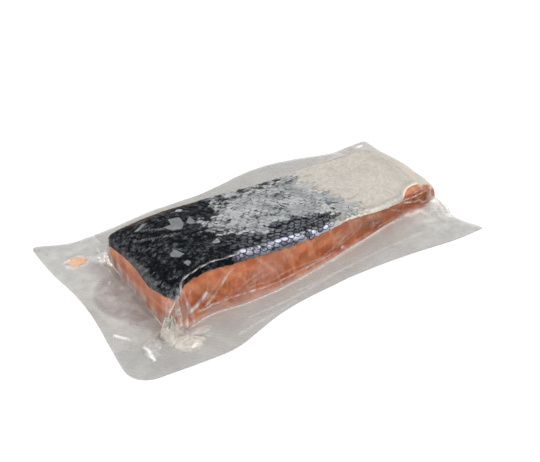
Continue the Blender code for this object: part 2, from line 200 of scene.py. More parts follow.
# Creases over the top, the rim and the corners: points (x, y), half width, rise, whiteness. The whiteness is
# partly milky film and partly painted highlight; a negative whiteness is painted shade along a fold.
FILM_CREASES = (
    # Painted highlights: bright streaks on the left rim.
    (((-0.0262, 0.0191), (-0.0237, 0.0156), (-0.0209, 0.0118)), 0.0010, 0.0006, 0.85),
    (((-0.0250, 0.0160), (-0.0225, 0.0128)), 0.0008, 0.0004, 0.50),
    (((-0.0174, 0.0012), (-0.0169, -0.0035), (-0.0171, -0.0096)), 0.0010, 0.0006, 0.85),
    (((-0.0190, -0.0010), (-0.0184, -0.0060)), 0.0007, 0.0004, 0.45),
    # Painted shade: a dark line along the fold of the rim at the near left corner.
    (((-0.0270, -0.0047), (-0.0240, -0.0110), (-0.0116, -0.0200), (0.0040, -0.0225)),
     0.0012, 0.0004, -0.25),
    (((-0.0155, -0.0010), (-0.0111, 0.0052), (-0.0046, 0.0083)), 0.0012, 0.0005, 0.25),
    (((0.0418, -0.0096), (0.0754, -0.0090), (0.1084, -0.0050)), 0.0012, 0.0004, 0.18),
    (((0.0300, -0.0179), (0.0709, -0.0125)), 0.0014, 0.0003, 0.15),
    (((0.0784, -0.0059), (0.1402, -0.0040), (0.1819, -0.0050)), 0.0014, 0.0004, 0.18),
    (((-0.0025, 0.0783), (-0.0022, 0.0873), (-0.0009, 0.0950)), 0.0007, 0.0005, 0.36),
    (((-0.0040, 0.0700), (-0.0060, 0.0790), (-0.0035, 0.0860)), 0.0007, 0.0004, 0.30),
    # Painted shade along a fold of the rim towards the belly end; the juice stain in the same fold is listed
    # in JUICE_LINES.
    (((0.1320, 0.0694), (0.1409, 0.0685), (0.1511, 0.0681), (0.1633, 0.0680),
      (0.1748, 0.0699)), 0.0009, 0.0002, -0.30),
    # Painted highlight: pale streaks just above that fold.
    (((0.1479, 0.0714), (0.1573, 0.0709), (0.1673, 0.0709), (0.1765, 0.0730)), 0.0007, 0.0003, 0.50),
    (((0.1260, 0.0688), (0.1295, 0.0595), (0.1342, 0.0509), (0.1364, 0.0413)), 0.0008, 0.0002, 0.20),
    (((-0.0100, 0.0600), (-0.0084, 0.0610)), 0.0009, 0.0005, 0.80),
    (((-0.0045, 0.0720), (-0.0046, 0.0500), (-0.0044, 0.0300), (-0.0020, 0.0160)), 0.0010, 0.0004, 0.14),
    (((0.0013, 0.0760), (0.0015, 0.0600), (0.0021, 0.0500), (0.0021, 0.0404), (0.0016, 0.0330),
      (0.0015, 0.0259), (0.0020, 0.0205), (0.0031, 0.0156)), 0.0014, 0.0002, 0.12),
    (((0.0133, 0.0109), (0.0120, 0.0098), (0.0105, 0.0089), (0.0093, 0.0088)), 0.0012, 0.0006, 0.75),
    (((0.0093, 0.0090), (0.0078, 0.0088), (0.0078, 0.0076), (0.0073, 0.0064), (0.0065, 0.0052),
      (0.0058, 0.0038), (0.0053, 0.0017)), 0.0016, 0.0020, 0.60),
    (((0.0088, 0.0090), (0.0070, 0.0086), (0.0053, 0.0079), (0.0025, 0.0068), (0.0010, 0.0060)),
     0.0008, 0.0012, 0.85),
    (((0.0128, 0.0092), (0.0133, 0.0080), (0.0130, 0.0070), (0.0120, 0.0059), (0.0105, 0.0043),
      (0.0090, 0.0017)), 0.0011, 0.0014, 0.62),
    (((0.0105, 0.0089), (0.0100, 0.0072), (0.0090, 0.0052), (0.0075, 0.0022)), 0.0006, 0.0008, 0.45),
    (((0.0078, 0.0086), (0.0050, 0.0078), (0.0030, 0.0060), (0.0015, 0.0030)), 0.0006, 0.0006, 0.40),
    # Painted highlight: a bright spot on the right clot of fat.
    (((0.0043, -0.0140), (0.0068, -0.0128)), 0.0017, 0.0007, 1.00),
    (((-0.0010, -0.0110), (0.0030, -0.0060), (0.0090, -0.0050)), 0.0006, 0.0004, 0.45),
    (((-0.0060, 0.0010), (-0.0010, 0.0040), (0.0030, 0.0050)), 0.0006, 0.0005, 0.60),
    (((-0.0030, -0.0035), (0.0010, 0.0000), (0.0040, 0.0030)), 0.0005, 0.0005, 0.50),
    # Painted highlight: a bright spot on the film's peak at the far right corner.
    (((0.2038, 0.0974), (0.2068, 0.0976)), 0.0013, 0.0006, 1.00),
    (((0.1830, 0.0740), (0.1880, 0.0560), (0.1900, 0.0440), (0.1880, 0.0330)), 0.0010, 0.0004, 0.25),
    (((0.1330, 0.0640), (0.1390, 0.0480), (0.1440, 0.0330)), 0.0008, 0.0002, 0.16),
    # Painted highlights: bright streaks across the film at the belly end.
    (((0.1715, 0.0215), (0.1778, 0.0214), (0.1848, 0.0209), (0.1910, 0.0200), (0.1965, 0.0186)),
     0.0008, 0.0005, 0.85),
    (((0.1803, 0.0228), (0.1863, 0.0222), (0.1930, 0.0206), (0.1978, 0.0193)), 0.0007, 0.0004, 0.65),
    (((0.1710, 0.0206), (0.1808, 0.0197), (0.1880, 0.0185), (0.1935, 0.0151), (0.1948, 0.0114)),
     0.0009, 0.0005, 0.80),
    (((0.1730, 0.0242), (0.1800, 0.0245), (0.1880, 0.0236)), 0.0006, 0.0003, 0.35),
    (((0.1930, 0.0200), (0.1980, 0.0120), (0.1995, -0.0020)), 0.0010, 0.0005, 0.45),
    (((0.1900, 0.0180), (0.1935, 0.0080), (0.1930, -0.0010)), 0.0008, 0.0004, 0.35),
    (((0.0140, 0.0640), (0.0220, 0.0560), (0.0330, 0.0470)), 0.0008, 0.0002, 0.32),
    (((0.0100, 0.0560), (0.0200, 0.0480), (0.0300, 0.0430)), 0.0008, 0.0002, 0.26),
)
# Folds of the rim with juice drawn into them: points (x, y), half width.
JUICE_LINES = (
    (((0.1560, 0.0770), (0.1640, 0.0795), (0.1765, 0.0885), (0.1900, 0.0962), (0.1990, 0.0982)), 0.0014),
    (((0.1320, 0.0694), (0.1409, 0.0685), (0.1511, 0.0681), (0.1633, 0.0680), (0.1748, 0.0699)), 0.0009),
    (((0.0120, -0.0010), (0.0260, 0.0030), (0.0420, 0.0010)), 0.0016),
)
# Milky places over the front face: centre (x, share of height), half length, half height, whiteness.
FACE_HAZE = (
    (0.0750, 0.66, 0.0150, 0.24, 0.10), (0.1200, 0.60, 0.0100, 0.20, 0.16),
    (0.1460, 0.55, 0.0060, 0.34, 0.14), (0.0500, 0.16, 0.0120, 0.07, 0.22),
    (0.1700, 0.25, 0.0100, 0.20, 0.20), (0.0300, 0.14, 0.0080, 0.06, 0.35),
    (0.0640, 0.50, 0.0140, 0.30, 0.15), (0.1330, 0.70, 0.0160, 0.30, 0.14),
    (0.1800, 0.10, 0.0140, 0.24, 0.24),
)
# Milky places elsewhere: centre (x, y), half lengths, whiteness. The three at the belly end are partly
# painted highlight, and the long one up the left cut is partly painted light.
FILM_HAZE = (
    (0.1955, 0.0150, 0.0042, 0.0045, 0.52), (0.1925, 0.0105, 0.0070, 0.0050, 0.44),
    (0.1830, 0.0145, 0.0090, 0.0032, 0.40), (0.0008, 0.0330, 0.0050, 0.0280, 0.14),
    (0.1965, 0.0020, 0.0060, 0.0090, 0.20),
    (0.0145, 0.0060, 0.0016, 0.0030, 0.35), (0.0070, 0.0060, 0.0022, 0.0030, 0.50),
    (0.0100, 0.0096, 0.0020, 0.0016, 0.45), (0.0160, -0.0040, 0.0060, 0.0040, 0.22),
    (0.0095, 0.0066, 0.0040, 0.0040, 0.30), (0.0025, 0.0062, 0.0050, 0.0040, 0.40),
)
# How far the skin reaches down the front face, station by station.
SKIN_DROP = ((0.0070, 0.0030), (0.0095, 0.0062), (0.0107, 0.0058), (0.0122, 0.0040), (0.0135, 0.0024),
             (0.018, 0.0028), (0.026, 0.0044), (0.036, 0.0046), (0.046, 0.0038), (0.060, 0.0028),
             (0.075, 0.0026), (0.090, 0.0022), (0.104, 0.0016), (0.114, 0.0004), (0.124, -0.0005),
             (0.136, -0.0007), (0.148, -0.0002), (0.158, 0.0012), (0.170, 0.0024))
# The skin's two ends (x over y), and the notch in its near right corner (y over x).
SKIN_START = ((0.0060, 0.0100), (0.0076, 0.0098), (0.0088, 0.0090), (0.0096, 0.0070), (0.0116, 0.0048),
              (0.0156, 0.0035), (0.0205, 0.0024), (0.0259, 0.0019), (0.0308, 0.0018), (0.0404, 0.0020),
              (0.0496, 0.0020), (0.0588, 0.0018), (0.0700, 0.0015), (0.0800, 0.0014))
SKIN_END = ((0.010, 0.1875), (0.030, 0.1885), (0.046, 0.1905), (0.060, 0.1895), (0.078, 0.1875))
NOTCH = ((0.1690, 0.0195), (0.1705, 0.0216), (0.1715, 0.0232), (0.1735, 0.0248), (0.1773, 0.0269),
         (0.1818, 0.0277), (0.1870, 0.0266), (0.1910, 0.0250))
# Where dark skin turns silver, from the front (y over x) and from the left (x over y),
# and where silver turns to belly (x over y).
SILVER_FRONT = ((0.0400, 0.0340), (0.0415, 0.0266), (0.0443, 0.0262), (0.0508, 0.0256), (0.0575, 0.0266),
                (0.0640, 0.0248), (0.0705, 0.0218), (0.0758, 0.0228), (0.0833, 0.0267), (0.0940, 0.0269),
                (0.1040, 0.0258), (0.1115, 0.0230), (0.1170, 0.0184), (0.1280, 0.0090), (0.1400, 0.0000))
SILVER_LEFT = ((0.0180, 0.0480), (0.0248, 0.0475), (0.0340, 0.0450), (0.0404, 0.0465), (0.0464, 0.0470),
               (0.0512, 0.0540), (0.0564, 0.0613), (0.0660, 0.0643), (0.0760, 0.0630))
BELLY_LINE = ((0.000, 0.1400), (0.014, 0.1370), (0.027, 0.1350), (0.040, 0.1300), (0.051, 0.1260),
              (0.078, 0.1270))
# The row of scales with a painted glint along the front edge (y over x): a highlight painted into their
# colour.
PAINTED_GLINT_ROW = ((0.0440, 0.0105), (0.0513, 0.0108), (0.0630, 0.0102), (0.0780, 0.0102), (0.0895, 0.0099),
              (0.1038, 0.0102), (0.1080, 0.0106), (0.1300, 0.0104))
# Flat grey places where the film has let go of the skin: outlines (x, y).
DRY_PATCHES = (
    ((0.0305, 0.0544), (0.0315, 0.0608), (0.0380, 0.0592), (0.0372, 0.0520), (0.0330, 0.0468),
     (0.0283, 0.0484), (0.0262, 0.0552)),
    ((0.0383, 0.0512), (0.0433, 0.0568), (0.0436, 0.0524), (0.0428, 0.0480), (0.0395, 0.0490)),
    ((0.0185, 0.0320), (0.0213, 0.0332), (0.0235, 0.0259), (0.0205, 0.0256), (0.0178, 0.0294)),
    ((0.0203, 0.0202), (0.0225, 0.0206), (0.0232, 0.0186), (0.0228, 0.0173), (0.0208, 0.0163)),
    ((0.0130, 0.0640), (0.0190, 0.0670), (0.0215, 0.0655), (0.0150, 0.0628)),
)


def bump(at, centre, spread):
    """A bell curve, 1 at its centre."""
    return np.exp(-(((at - centre) / spread) ** 2))


def smooth(at, low, high):
    """A soft step from 0 to 1 between two places."""
    t = np.clip((at - low) / (high - low), 0.0, 1.0)
    return t * t * (3 - 2 * t)


def curve_through(at, table):
    """A smooth curve through the listed stations."""
    at = np.asarray(at, float)
    places, heights = (np.array(column) for column in zip(*table))
    n = np.clip(np.searchsorted(places, at, side="left") - 1, 0, len(places) - 2)
    before = np.maximum(n - 1, 0)
    after = np.minimum(n + 2, len(places) - 1)
    span = places[n + 1] - places[n]
    slope0 = (heights[n + 1] - heights[before]) / (places[n + 1] - places[before]) * span
    slope1 = (heights[after] - heights[n]) / (places[after] - places[n]) * span
    t = np.clip((at - places[n]) / span, 0.0, 1.0)
    rest = 1 - t
    ends = heights[n] * rest * rest * (1 + 2 * t) + heights[n + 1] * t * t * (1 + 2 * rest)
    return ends + slope0 * t * rest * rest - slope1 * t * t * rest


def reach(x, y, centre_x, centre_y, half_x, half_y):
    """0 at the centre of an ellipse and 1 at its edge."""
    return ((x - centre_x) / half_x) ** 2 + ((y - centre_y) / half_y) ** 2


def left_foot(y):
    """The left cut's foot, rounded in towards the near corner."""
    return 0.0055 * np.clip((0.012 - y) / 0.014, 0.0, 1.5) ** 1.7 - 0.0004


def right_foot(y):
    """The belly end's foot, rounded in at both corners."""
    front_cut = np.clip((0.030 - y) / 0.028, 0.0, 1.3)
    back_cut = np.clip((y - 0.048) / 0.032, 0.0, 1.3)
    return PORTION_RIGHT - 0.0110 * front_cut ** 1.8 - 0.0065 * back_cut ** 1.5


def front_foot(x):
    """The front face's foot."""
    return curve_through(x, FRONT_FOOT)


def back_foot(x):
    """The back face's foot, out at the dark end and in at the belly."""
    return PORTION_BACK + 0.0035 * bump(x, -0.002, 0.014) - 0.0040 * bump(x, 0.200, 0.030)


def wall_share(distance, wall, toe_scale=1.0):
    """0 outside the foot, 1 inside the crest, with a fillet at each end."""
    run, toe, crest = wall
    toe = toe * toe_scale / run
    crest = min(crest / run, 0.49)
    t = distance / run
    low = np.clip(t + toe, 0.0, None) ** 2 / (4 * toe)
    high = 1 - np.clip(1 + crest - t, 0.0, None) ** 2 / (4 * crest)
    return np.where(t < toe, low, np.where(t <= 1 - crest, t, high))


def end_share(distance, toe):
    """The full, rounded profile of the belly end."""
    t = np.clip(distance / END_RUN, 0.0, 1.0)
    full = (1 - (1 - t) ** END_POWER) ** (1 / END_POWER)
    return full * np.clip((distance + toe) / (2 * toe), 0.0, 1.0) ** 0.5


def body_share(x, y, inset=0.0, toe_scale=1.0, front_in=0.0):
    """How far the body has risen at a point: inset draws its sides in all round."""
    front = (FRONT_WALL[0] - front_in, FRONT_WALL[1], FRONT_WALL[2])
    across = wall_share(y - front_foot(x) - inset - front_in, front, toe_scale)
    across = across * wall_share(back_foot(x) - y - inset, BACK_WALL, toe_scale)
    along = wall_share(x - left_foot(y) - inset, LEFT_WALL, toe_scale)
    return across * along * end_share(right_foot(y) - x - inset, END_TOE * toe_scale)


def crown(x, y):
    """Top of the pack: from the front crest to the back crest, a little domed."""
    t = np.clip((y - 0.010) / 0.065, 0.0, 1.0)
    front = curve_through(x, FRONT_CREST)
    back = curve_through(x, BACK_CREST)
    return front + (back - front) * t + 0.0010 * np.sin(np.pi * t)


def leaned(x, y, z):
    """The left cut leans out a little towards its top, and the front face towards the thin end."""
    climb = np.clip((z - TOE_TOP) / (crown(x, y) - TOE_TOP), 0.0, 1.0)
    out = curve_through(x, OVERHANG) * climb * (1 - smooth(y, 0.020, 0.070))
    return x - LEFT_LEAN * z / 0.020 * np.clip(1 - x / 0.030, 0.0, 1.0), y - out


def fish_height(x, y, gap):
    """Top of the fish: the film's form less the gap to it, with a steeper front face."""
    inside = body_share(x, y, gap * SIDE_GAP_SHARE, FISH_TOE, FISH_FRONT_IN)
    return FISH_BASE + (crown(x, y) - gap - FISH_BASE) * inside


def rumple(x, y, size, seed, octaves=3):
    """Smooth random relief, -1 to 1, the same on every run."""
    flat = zip(np.ravel(x) / size, np.ravel(y) / size)
    found = [noise.fractal(Vector((a, b, seed)), 0.7, 2.0, octaves) for a, b in flat]
    return np.array(found).reshape(np.shape(x))


def in_frame(x, y, z):
    """Points of the fish's own corner frame, placed in the part's frame."""
    return np.stack([x + PORTION_CORNER[0], y + PORTION_CORNER[1], z], -1)


def surface_normals(points):
    """Unit normals of a grid of points."""
    along = np.gradient(points, axis=0)
    across = np.gradient(points, axis=1)
    normal = np.cross(along, across)
    return normal / np.maximum(np.linalg.norm(normal, axis=-1, keepdims=True), 1e-12)


def steps(start, stop, step):
    """Evenly spaced places from start to stop, about a step apart."""
    return np.linspace(start, stop, max(int(round(abs(stop - start) / step)), 1) + 1)


def spaced(*spans):
    """Evenly spaced places over each span (start, stop, step)."""
    return np.concatenate([steps(*span) for span in spans])


def mesh_lines(rim_low, low, middle, high, rim_high):
    """Weights (low rim, low foot, high foot, high rim, offset) of each line across the bag."""
    found = []
    for share in rim_low:
        found.append((share, 1 - share, 0, 0, low[0] * (1 - share)))
    found += [(0, 1, 0, 0, offset) for offset in low]
    for n in range(1, middle):
        t = n / middle
        found.append((0, 1 - t, t, 0, low[-1] * (1 - t) - high[-1] * t))
    found += [(0, 0, 1, 0, -offset) for offset in high[::-1]]
    for share in rim_high:
        found.append((0, 0, 1 - share, share, -high[0] * (1 - share)))
    return np.array(found)


def plan(x_lines, y_lines):
    """Rows of (x, y) that follow the rim of the bag and the foot of the fish."""

    def weighed(lines, edges):
        return sum(np.outer(lines[:, n], edge) for n, edge in enumerate(edges)) + lines[:, 4:5]

    def along(y):
        return weighed(x_lines, (curve_through(y, LEFT_RIM), left_foot(y), right_foot(y),
                                 curve_through(y, RIGHT_RIM)))

    def across(x):
        return weighed(y_lines, (curve_through(x, FRONT_RIM), front_foot(x), back_foot(x),
                                 curve_through(x, BACK_RIM)))

    nominal_x = along(np.array([0.045]))[:, 0]
    nominal_y = across(np.array([0.080]))[:, 0]
    return along(nominal_y), across(nominal_x).T


def round_corners(x, y):
    """Draws the square corners of the bag in to arcs."""
    for side_x, side_y, radius in CORNER_RADII:
        tip = (0 if side_x < 0 else -1, 0 if side_y < 0 else -1)
        corner_x, corner_y = x[tip], y[tip]
        p = 1 - (corner_x - x) * side_x / radius
        q = 1 - (corner_y - y) * side_y / radius
        inside = (p > 0) & (q > 0)
        pull = np.maximum(p, q) / np.maximum(np.hypot(p, q), 1e-9)
        x = np.where(inside, corner_x + side_x * radius * (p * pull - 1), x)
        y = np.where(inside, corner_y + side_y * radius * (q * pull - 1), y)
    return x, y


def closed_sheet(name, top, low):
    """A closed mesh between two grids of points with the same layout."""
    rows, columns = top.shape[:2]
    shift = rows * columns
    index = np.arange(shift).reshape(rows, columns)
    upper = np.stack([index[:-1, :-1], index[1:, :-1], index[1:, 1:], index[:-1, 1:]], -1).reshape(-1, 4)
    lower = upper[:, [0, 3, 2, 1]] + shift
    ring = np.concatenate([index[:-1, 0], index[-1, :-1], index[:0:-1, -1], index[0, :0:-1]])
    ahead = np.roll(ring, -1)
    sides = np.stack([ring, ring + shift, ahead + shift, ahead], -1)
    mesh = bpy.data.meshes.new(name)
    points = np.concatenate([top.reshape(-1, 3), low.reshape(-1, 3)])
    mesh.from_pydata(points.tolist(), [], np.concatenate([upper, lower, sides]).tolist())
    mesh.validate()
    return mesh


def store(mesh, name, values):
    """Keeps a number for each point, for the materials to read."""
    layer = mesh.attributes.new(name, "FLOAT", "POINT")
    layer.data.foreach_set("value", np.ravel(values).astype(np.float32))


def show(name, mesh, material, sharp=None):
    """Makes a finished mesh a piece of the pack that stands for the CAD solid."""
    mesh.name = name
    mesh.materials.clear()
    mesh.materials.append(material)
    mesh.shade_smooth()
    if sharp:
        mesh.set_sharp_from_angle(angle=math.radians(sharp))
    piece = bpy.data.objects.new(name, mesh)
    bpy.context.scene.collection.objects.link(piece)
    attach(piece, "root")
    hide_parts(BAG_NODE)
    return piece


def as_plain_mesh(piece):
    """The evaluated mesh of a working object, which is then removed."""
    depsgraph = bpy.context.evaluated_depsgraph_get()
    mesh = bpy.data.meshes.new_from_object(piece.evaluated_get(depsgraph))
    bpy.data.objects.remove(piece, do_unlink=True)
    return mesh


# Materials

def feed(tree, node, inputs):
    """Sets a node's inputs: numbers, colours or the sockets that feed them."""
    for key, value in inputs.items():
        if isinstance(value, bpy.types.NodeSocket):
            tree.links.new(value, node.inputs[key])
        else:
            node.inputs[key].default_value = value


def join(tree, kind, inputs=None, **settings):
    """Adds a node to a tree."""
    made = tree.nodes.new(kind)
    for key, value in settings.items():
        setattr(made, key, value)
    feed(tree, made, inputs or {})
    return made


def paint(colour):
    """A colour with its fourth channel, or the socket that gives one."""
    return colour if isinstance(colour, bpy.types.NodeSocket) else (*colour, 1.0)


def blend_colour(tree, share, first, second):
    """From the first colour to the second."""
    made = join(tree, "ShaderNodeMix", {0: share, 6: paint(first), 7: paint(second)}, data_type="RGBA")
    return made.outputs[2]


def arithmetic(tree, operation, first, second=0.0, clamp=False):
    """The result of a Math node."""
    made = join(tree, "ShaderNodeMath", {0: first, 1: second}, operation=operation, use_clamp=clamp)
    return made.outputs[0]


def plus(tree, value, other, share):
    """value + other x share."""
    return arithmetic(tree, "ADD", value, arithmetic(tree, "MULTIPLY", other, share))


def strayed(tree, value, pattern, amount):
    """A value pushed up and down by a pattern that is centred on 0.5."""
    return plus(tree, value, arithmetic(tree, "SUBTRACT", pattern, 0.5), amount)


def times(tree, first, *others):
    """The product of several values."""
    for other in others:
        first = arithmetic(tree, "MULTIPLY", first, other)
    return first


def between(tree, value, low, high, out_low=0.0, out_high=1.0):
    """A soft step of a value between two limits."""
    made = join(tree, "ShaderNodeMapRange", {
        "Value": value, "From Min": low, "From Max": high, "To Min": out_low, "To Max": out_high,
    }, interpolation_type="SMOOTHSTEP")
    return made.outputs["Result"]


def mottle(tree, place, scale, detail=3.0, roughness=0.55, stretch=None, distortion=0.0):
    """Cloudy noise, centred on 0.5."""
    if stretch:
        place = join(tree, "ShaderNodeMapping", {"Vector": place, "Scale": stretch}).outputs[0]
    made = join(tree, "ShaderNodeTexNoise", {
        "Vector": place, "Scale": scale, "Detail": detail, "Roughness": roughness, "Distortion": distortion,
    })
    return made.outputs["Fac"]


def pebbled(tree, place, scale):
    """Distance to the nearest of many scattered points."""
    return join(tree, "ShaderNodeTexVoronoi", {"Vector": place, "Scale": scale}).outputs["Distance"]


def banded(tree, place, scale, distortion, detail, detail_scale):
    """Slanting waves."""
    made = join(tree, "ShaderNodeTexWave", {
        "Vector": place, "Scale": scale, "Distortion": distortion, "Detail": detail,
        "Detail Scale": detail_scale,
    }, wave_type="BANDS", bands_direction="DIAGONAL")
    return made.outputs["Fac"]


def reading(tree, name):
    """A number kept on the mesh by store."""
    return join(tree, "ShaderNodeAttribute", attribute_name=name).outputs["Fac"]


def relief(tree, height, strength, distance):
    """A bumped normal."""
    made = join(tree, "ShaderNodeBump", {"Height": height, "Strength": strength, "Distance": distance})
    return made.outputs["Normal"]


def start_material(name, colour):
    """A new material, its tree, its shader and the place on the object."""
    material = bpy.data.materials.new(name)
    material.use_nodes = True
    material.diffuse_color = paint(colour)
    tree = material.node_tree
    shader = tree.nodes["Principled BSDF"]
    place = join(tree, "ShaderNodeTexCoord").outputs["Object"]
    return material, tree, shader, place


def flesh_material(colours):
    """Salmon flesh: orange muscle with pale lines of fat, and a beige membrane at the belly."""
    material, tree, shader, place = start_material("salmon_flesh", colours.flesh)
    broad = mottle(tree, place, 60.0, 4.0, 0.62, stretch=(0.6, 1.0, 1.0), distortion=0.6)
    deep = mottle(tree, place, 75.0, 3.0, 0.6, stretch=(0.5, 1.0, 1.4))
    fibre = mottle(tree, place, 330.0, 3.0, 0.65, stretch=(1.0, 0.3, 0.45))
    bruise = mottle(tree, place, 34.0, 4.0, 0.65, stretch=(0.7, 1.0, 1.6), distortion=0.8)
    squeezed = join(tree, "ShaderNodeMapping", {"Vector": place, "Scale": (1.0, 0.25, 0.7)}).outputs[0]
    lines = banded(tree, squeezed, 34.0, 7.0, 3.0, 0.9)
    colour = blend_colour(tree, between(tree, broad, 0.41, 0.62), colours.flesh, colours.flesh_pale)
    for pattern, low, high, most, tint in (
        (deep, 0.52, 0.72, 0.80, colours.flesh_deep), (fibre, 0.46, 0.74, 0.40, colours.fat_line),
        (bruise, 0.54, 0.70, 0.65, colours.flesh_bruise), (lines, 0.84, 1.00, 0.26, colours.fat_line),
    ):
        colour = blend_colour(tree, between(tree, pattern, low, high, 0.0, most), colour, tint)

    x, y, z = join(tree, "ShaderNodeSeparateXYZ", {0: place}).outputs
    belly_end = between(tree, plus(tree, x, mottle(tree, place, 120.0), 0.010), 0.1010, 0.1040)
    not_corner = between(tree, plus(tree, y, mottle(tree, place, 150.0), 0.006), -0.0258, -0.0238)
    high_up = plus(tree, z, mottle(tree, place, 90.0, 4.0, 0.6), 0.016)
    high_up = between(tree, high_up, 0.0100, 0.0200, 0.35, 1.0)
    cover = blend_colour(tree, between(tree, broad, 0.42, 0.62), colours.membrane, colours.belly_grey)
    feed(tree, shader, {
        "Base Color": blend_colour(tree, times(tree, belly_end, not_corner, high_up), colour, cover),
        "Normal": relief(tree, fibre, 0.3, 0.0006),
        "Roughness": 0.42,
        "Specular IOR Level": 0.20,
        "Subsurface Weight": 0.06,
        "Subsurface Radius": (1.0, 0.35, 0.18),
        "Subsurface Scale": 0.002,
        "Coat Weight": 0.15,
        "Coat Roughness": 0.15,
    })
    return material


def skin_patterns(tree, place):
    """Mottles shared by the zones of the skin."""
    return SimpleNamespace(
        grain=mottle(tree, place, 320.0, 4.0, 0.65),
        coarse=mottle(tree, place, 120.0, 4.0, 0.62, distortion=0.8),
        blotch=mottle(tree, place, 210.0, 3.0, 0.6, stretch=(1.0, 1.35, 1.0)),
        flecks=mottle(tree, place, 640.0, 3.0, 0.70),
        broad=mottle(tree, place, 55.0, 3.0, 0.60, distortion=0.6),
    )


def dark_back(tree, place, colours, patterns, tone, rim):
    """Near black skin with grey places, and rows of dark scales towards the flank."""
    grey = plus(tree, plus(tree, patterns.blotch, tone, 0.16), patterns.broad, 0.35)
    dark = blend_colour(tree, between(tree, grey, 0.66, 0.94), colours.skin_dark, colours.skin_grey)
    pebbles = strayed(tree, pebbled(tree, place, 310.0), patterns.flecks, 1.8)
    pebbles = plus(tree, pebbles, patterns.broad, -0.6)
    dark = blend_colour(tree, between(tree, pebbles, -0.04, 0.36), dark, colours.skin_black)
    scaly = blend_colour(tree, between(tree, tone, 0.0, 0.9), colours.skin_grey, colours.skin_slate)
    scaly = blend_colour(tree, rim, scaly, colours.skin_black)
    scaly = blend_colour(tree, between(tree, patterns.blotch, 0.46, 0.62), scaly, colours.skin_black)
    return blend_colour(tree, reading(tree, "scaly"), dark, scaly)


def silver_flank(tree, colours, patterns, tone):
    """Silver skin, even where it is calm and broken elsewhere."""
    rough = plus(tree, arithmetic(tree, "MULTIPLY", tone, 0.30), patterns.coarse, 0.85)
    rough = blend_colour(tree, between(tree, rough, 0.40, 0.70), colours.skin_slate, colours.skin_silver)
    even = blend_colour(tree, between(tree, patterns.broad, 0.36, 0.62), colours.skin_silver_deep,
                        colours.skin_silver)
    return blend_colour(tree, reading(tree, "calm"), rough, even)


def black_marks(tree, place, patterns, belly, rim):
    """Share of black: flaked specks, the rims of scales and fine cracks."""
    specks = plus(tree, patterns.blotch, reading(tree, "flaked"), 0.09)
    specks = between(tree, specks, 0.57, 0.64, 0.0, 0.95)
    lines = times(tree, rim, between(tree, patterns.coarse, 0.44, 0.60, 0.0, 0.6))
    marked = arithmetic(tree, "MULTIPLY", arithmetic(tree, "MAXIMUM", lines, specks),
                        reading(tree, "marks"), clamp=True)
    contour = mottle(tree, place, 75.0, 3.0, 0.55, distortion=0.7)
    contour = arithmetic(tree, "ABSOLUTE", arithmetic(tree, "SUBTRACT", contour, 0.5))
    cracks = times(tree, between(tree, contour, 0.006, 0.022, 0.95, 0.0),
                   between(tree, patterns.grain, 0.42, 0.56),
                   arithmetic(tree, "SUBTRACT", 1.0, belly, clamp=True))
    return arithmetic(tree, "MAXIMUM", marked, cracks)


def cream_belly(tree, place, colours, patterns):
    """Cream skin with a fine weave, and grey streaks where the flank fades into it."""
    weave = between(tree, pebbled(tree, place, BELLY_WEAVE), 0.30, 0.80, 0.0, 0.42)
    clouds = between(tree, patterns.broad, 0.52, 0.68, 0.0, 0.30)
    streaks = mottle(tree, place, 190.0, 3.0, 0.6, stretch=(0.8, 1.6, 1.0), distortion=0.5)
    streaks = times(tree, reading(tree, "fade"), between(tree, streaks, 0.52, 0.66, 0.0, 0.62))
    cream = blend_colour(tree, between(tree, patterns.grain, 0.36, 0.66), colours.belly, colours.belly_grey)
    cream = blend_colour(tree, weave, cream, colours.belly_shade)
    cream = blend_colour(tree, clouds, cream, colours.belly_shade)
    return blend_colour(tree, streaks, cream, colours.skin_slate)


def skin_colour(tree, place, colours, tone, rim):
    """Dark back, silver flank and cream belly, from the zones kept on the mesh."""
    patterns = skin_patterns(tree, place)
    belly = reading(tree, "belly")
    silver = strayed(tree, strayed(tree, reading(tree, "silver"), patterns.coarse, 1.6), patterns.grain, 1.5)
    colour = blend_colour(tree, between(tree, silver, 0.32, 0.68),
                          dark_back(tree, place, colours, patterns, tone, rim),
                          silver_flank(tree, colours, patterns, tone))
    colour = blend_colour(tree, black_marks(tree, place, patterns, belly, rim), colour, colours.skin_black)
    faded = strayed(tree, belly, patterns.coarse, 1.0)
    colour = blend_colour(tree, between(tree, faded, 0.30, 0.70), colour,
                          cream_belly(tree, place, colours, patterns))
    # Painted highlight: the glint on the front row of scales, left off the scales' dark rims.
    painted_glints = times(tree, reading(tree, "row"), between(tree, patterns.grain, 0.32, 0.52),
                   between(tree, tone, 0.15, 0.45, 0.15, 1.0),
                   arithmetic(tree, "SUBTRACT", 1.0, rim, clamp=True))
    tan = times(tree, reading(tree, "tan"), between(tree, patterns.grain, 0.35, 0.60))
    # The painted glints and the painted shade behind the lip go on here, with the skin's own strip, lip and
    # tan.
    for share, tint in (
        (painted_glints, colours.painted_glint), (reading(tree, "strip"), colours.membrane),
        (reading(tree, "painted_shade_behind_lip"), colours.belly_shade), (reading(tree, "lip"), colours.skin_lip),
        (tan, colours.tan),
    ):
        colour = blend_colour(tree, share, colour, tint)
    return colour, patterns.grain


def wet_skin(tree, shader, colour, normal, roughness):
    """Finish of skin and scales, shinier where they are silver."""
    feed(tree, shader, {
        "Base Color": colour,
        "Normal": normal,
        "Roughness": roughness,
        "Specular IOR Level": between(tree, reading(tree, "silver"), 0.0, 1.0, 0.02, 0.15),
        "Coat Weight": 0.03,
        "Coat Roughness": 0.12,
    })


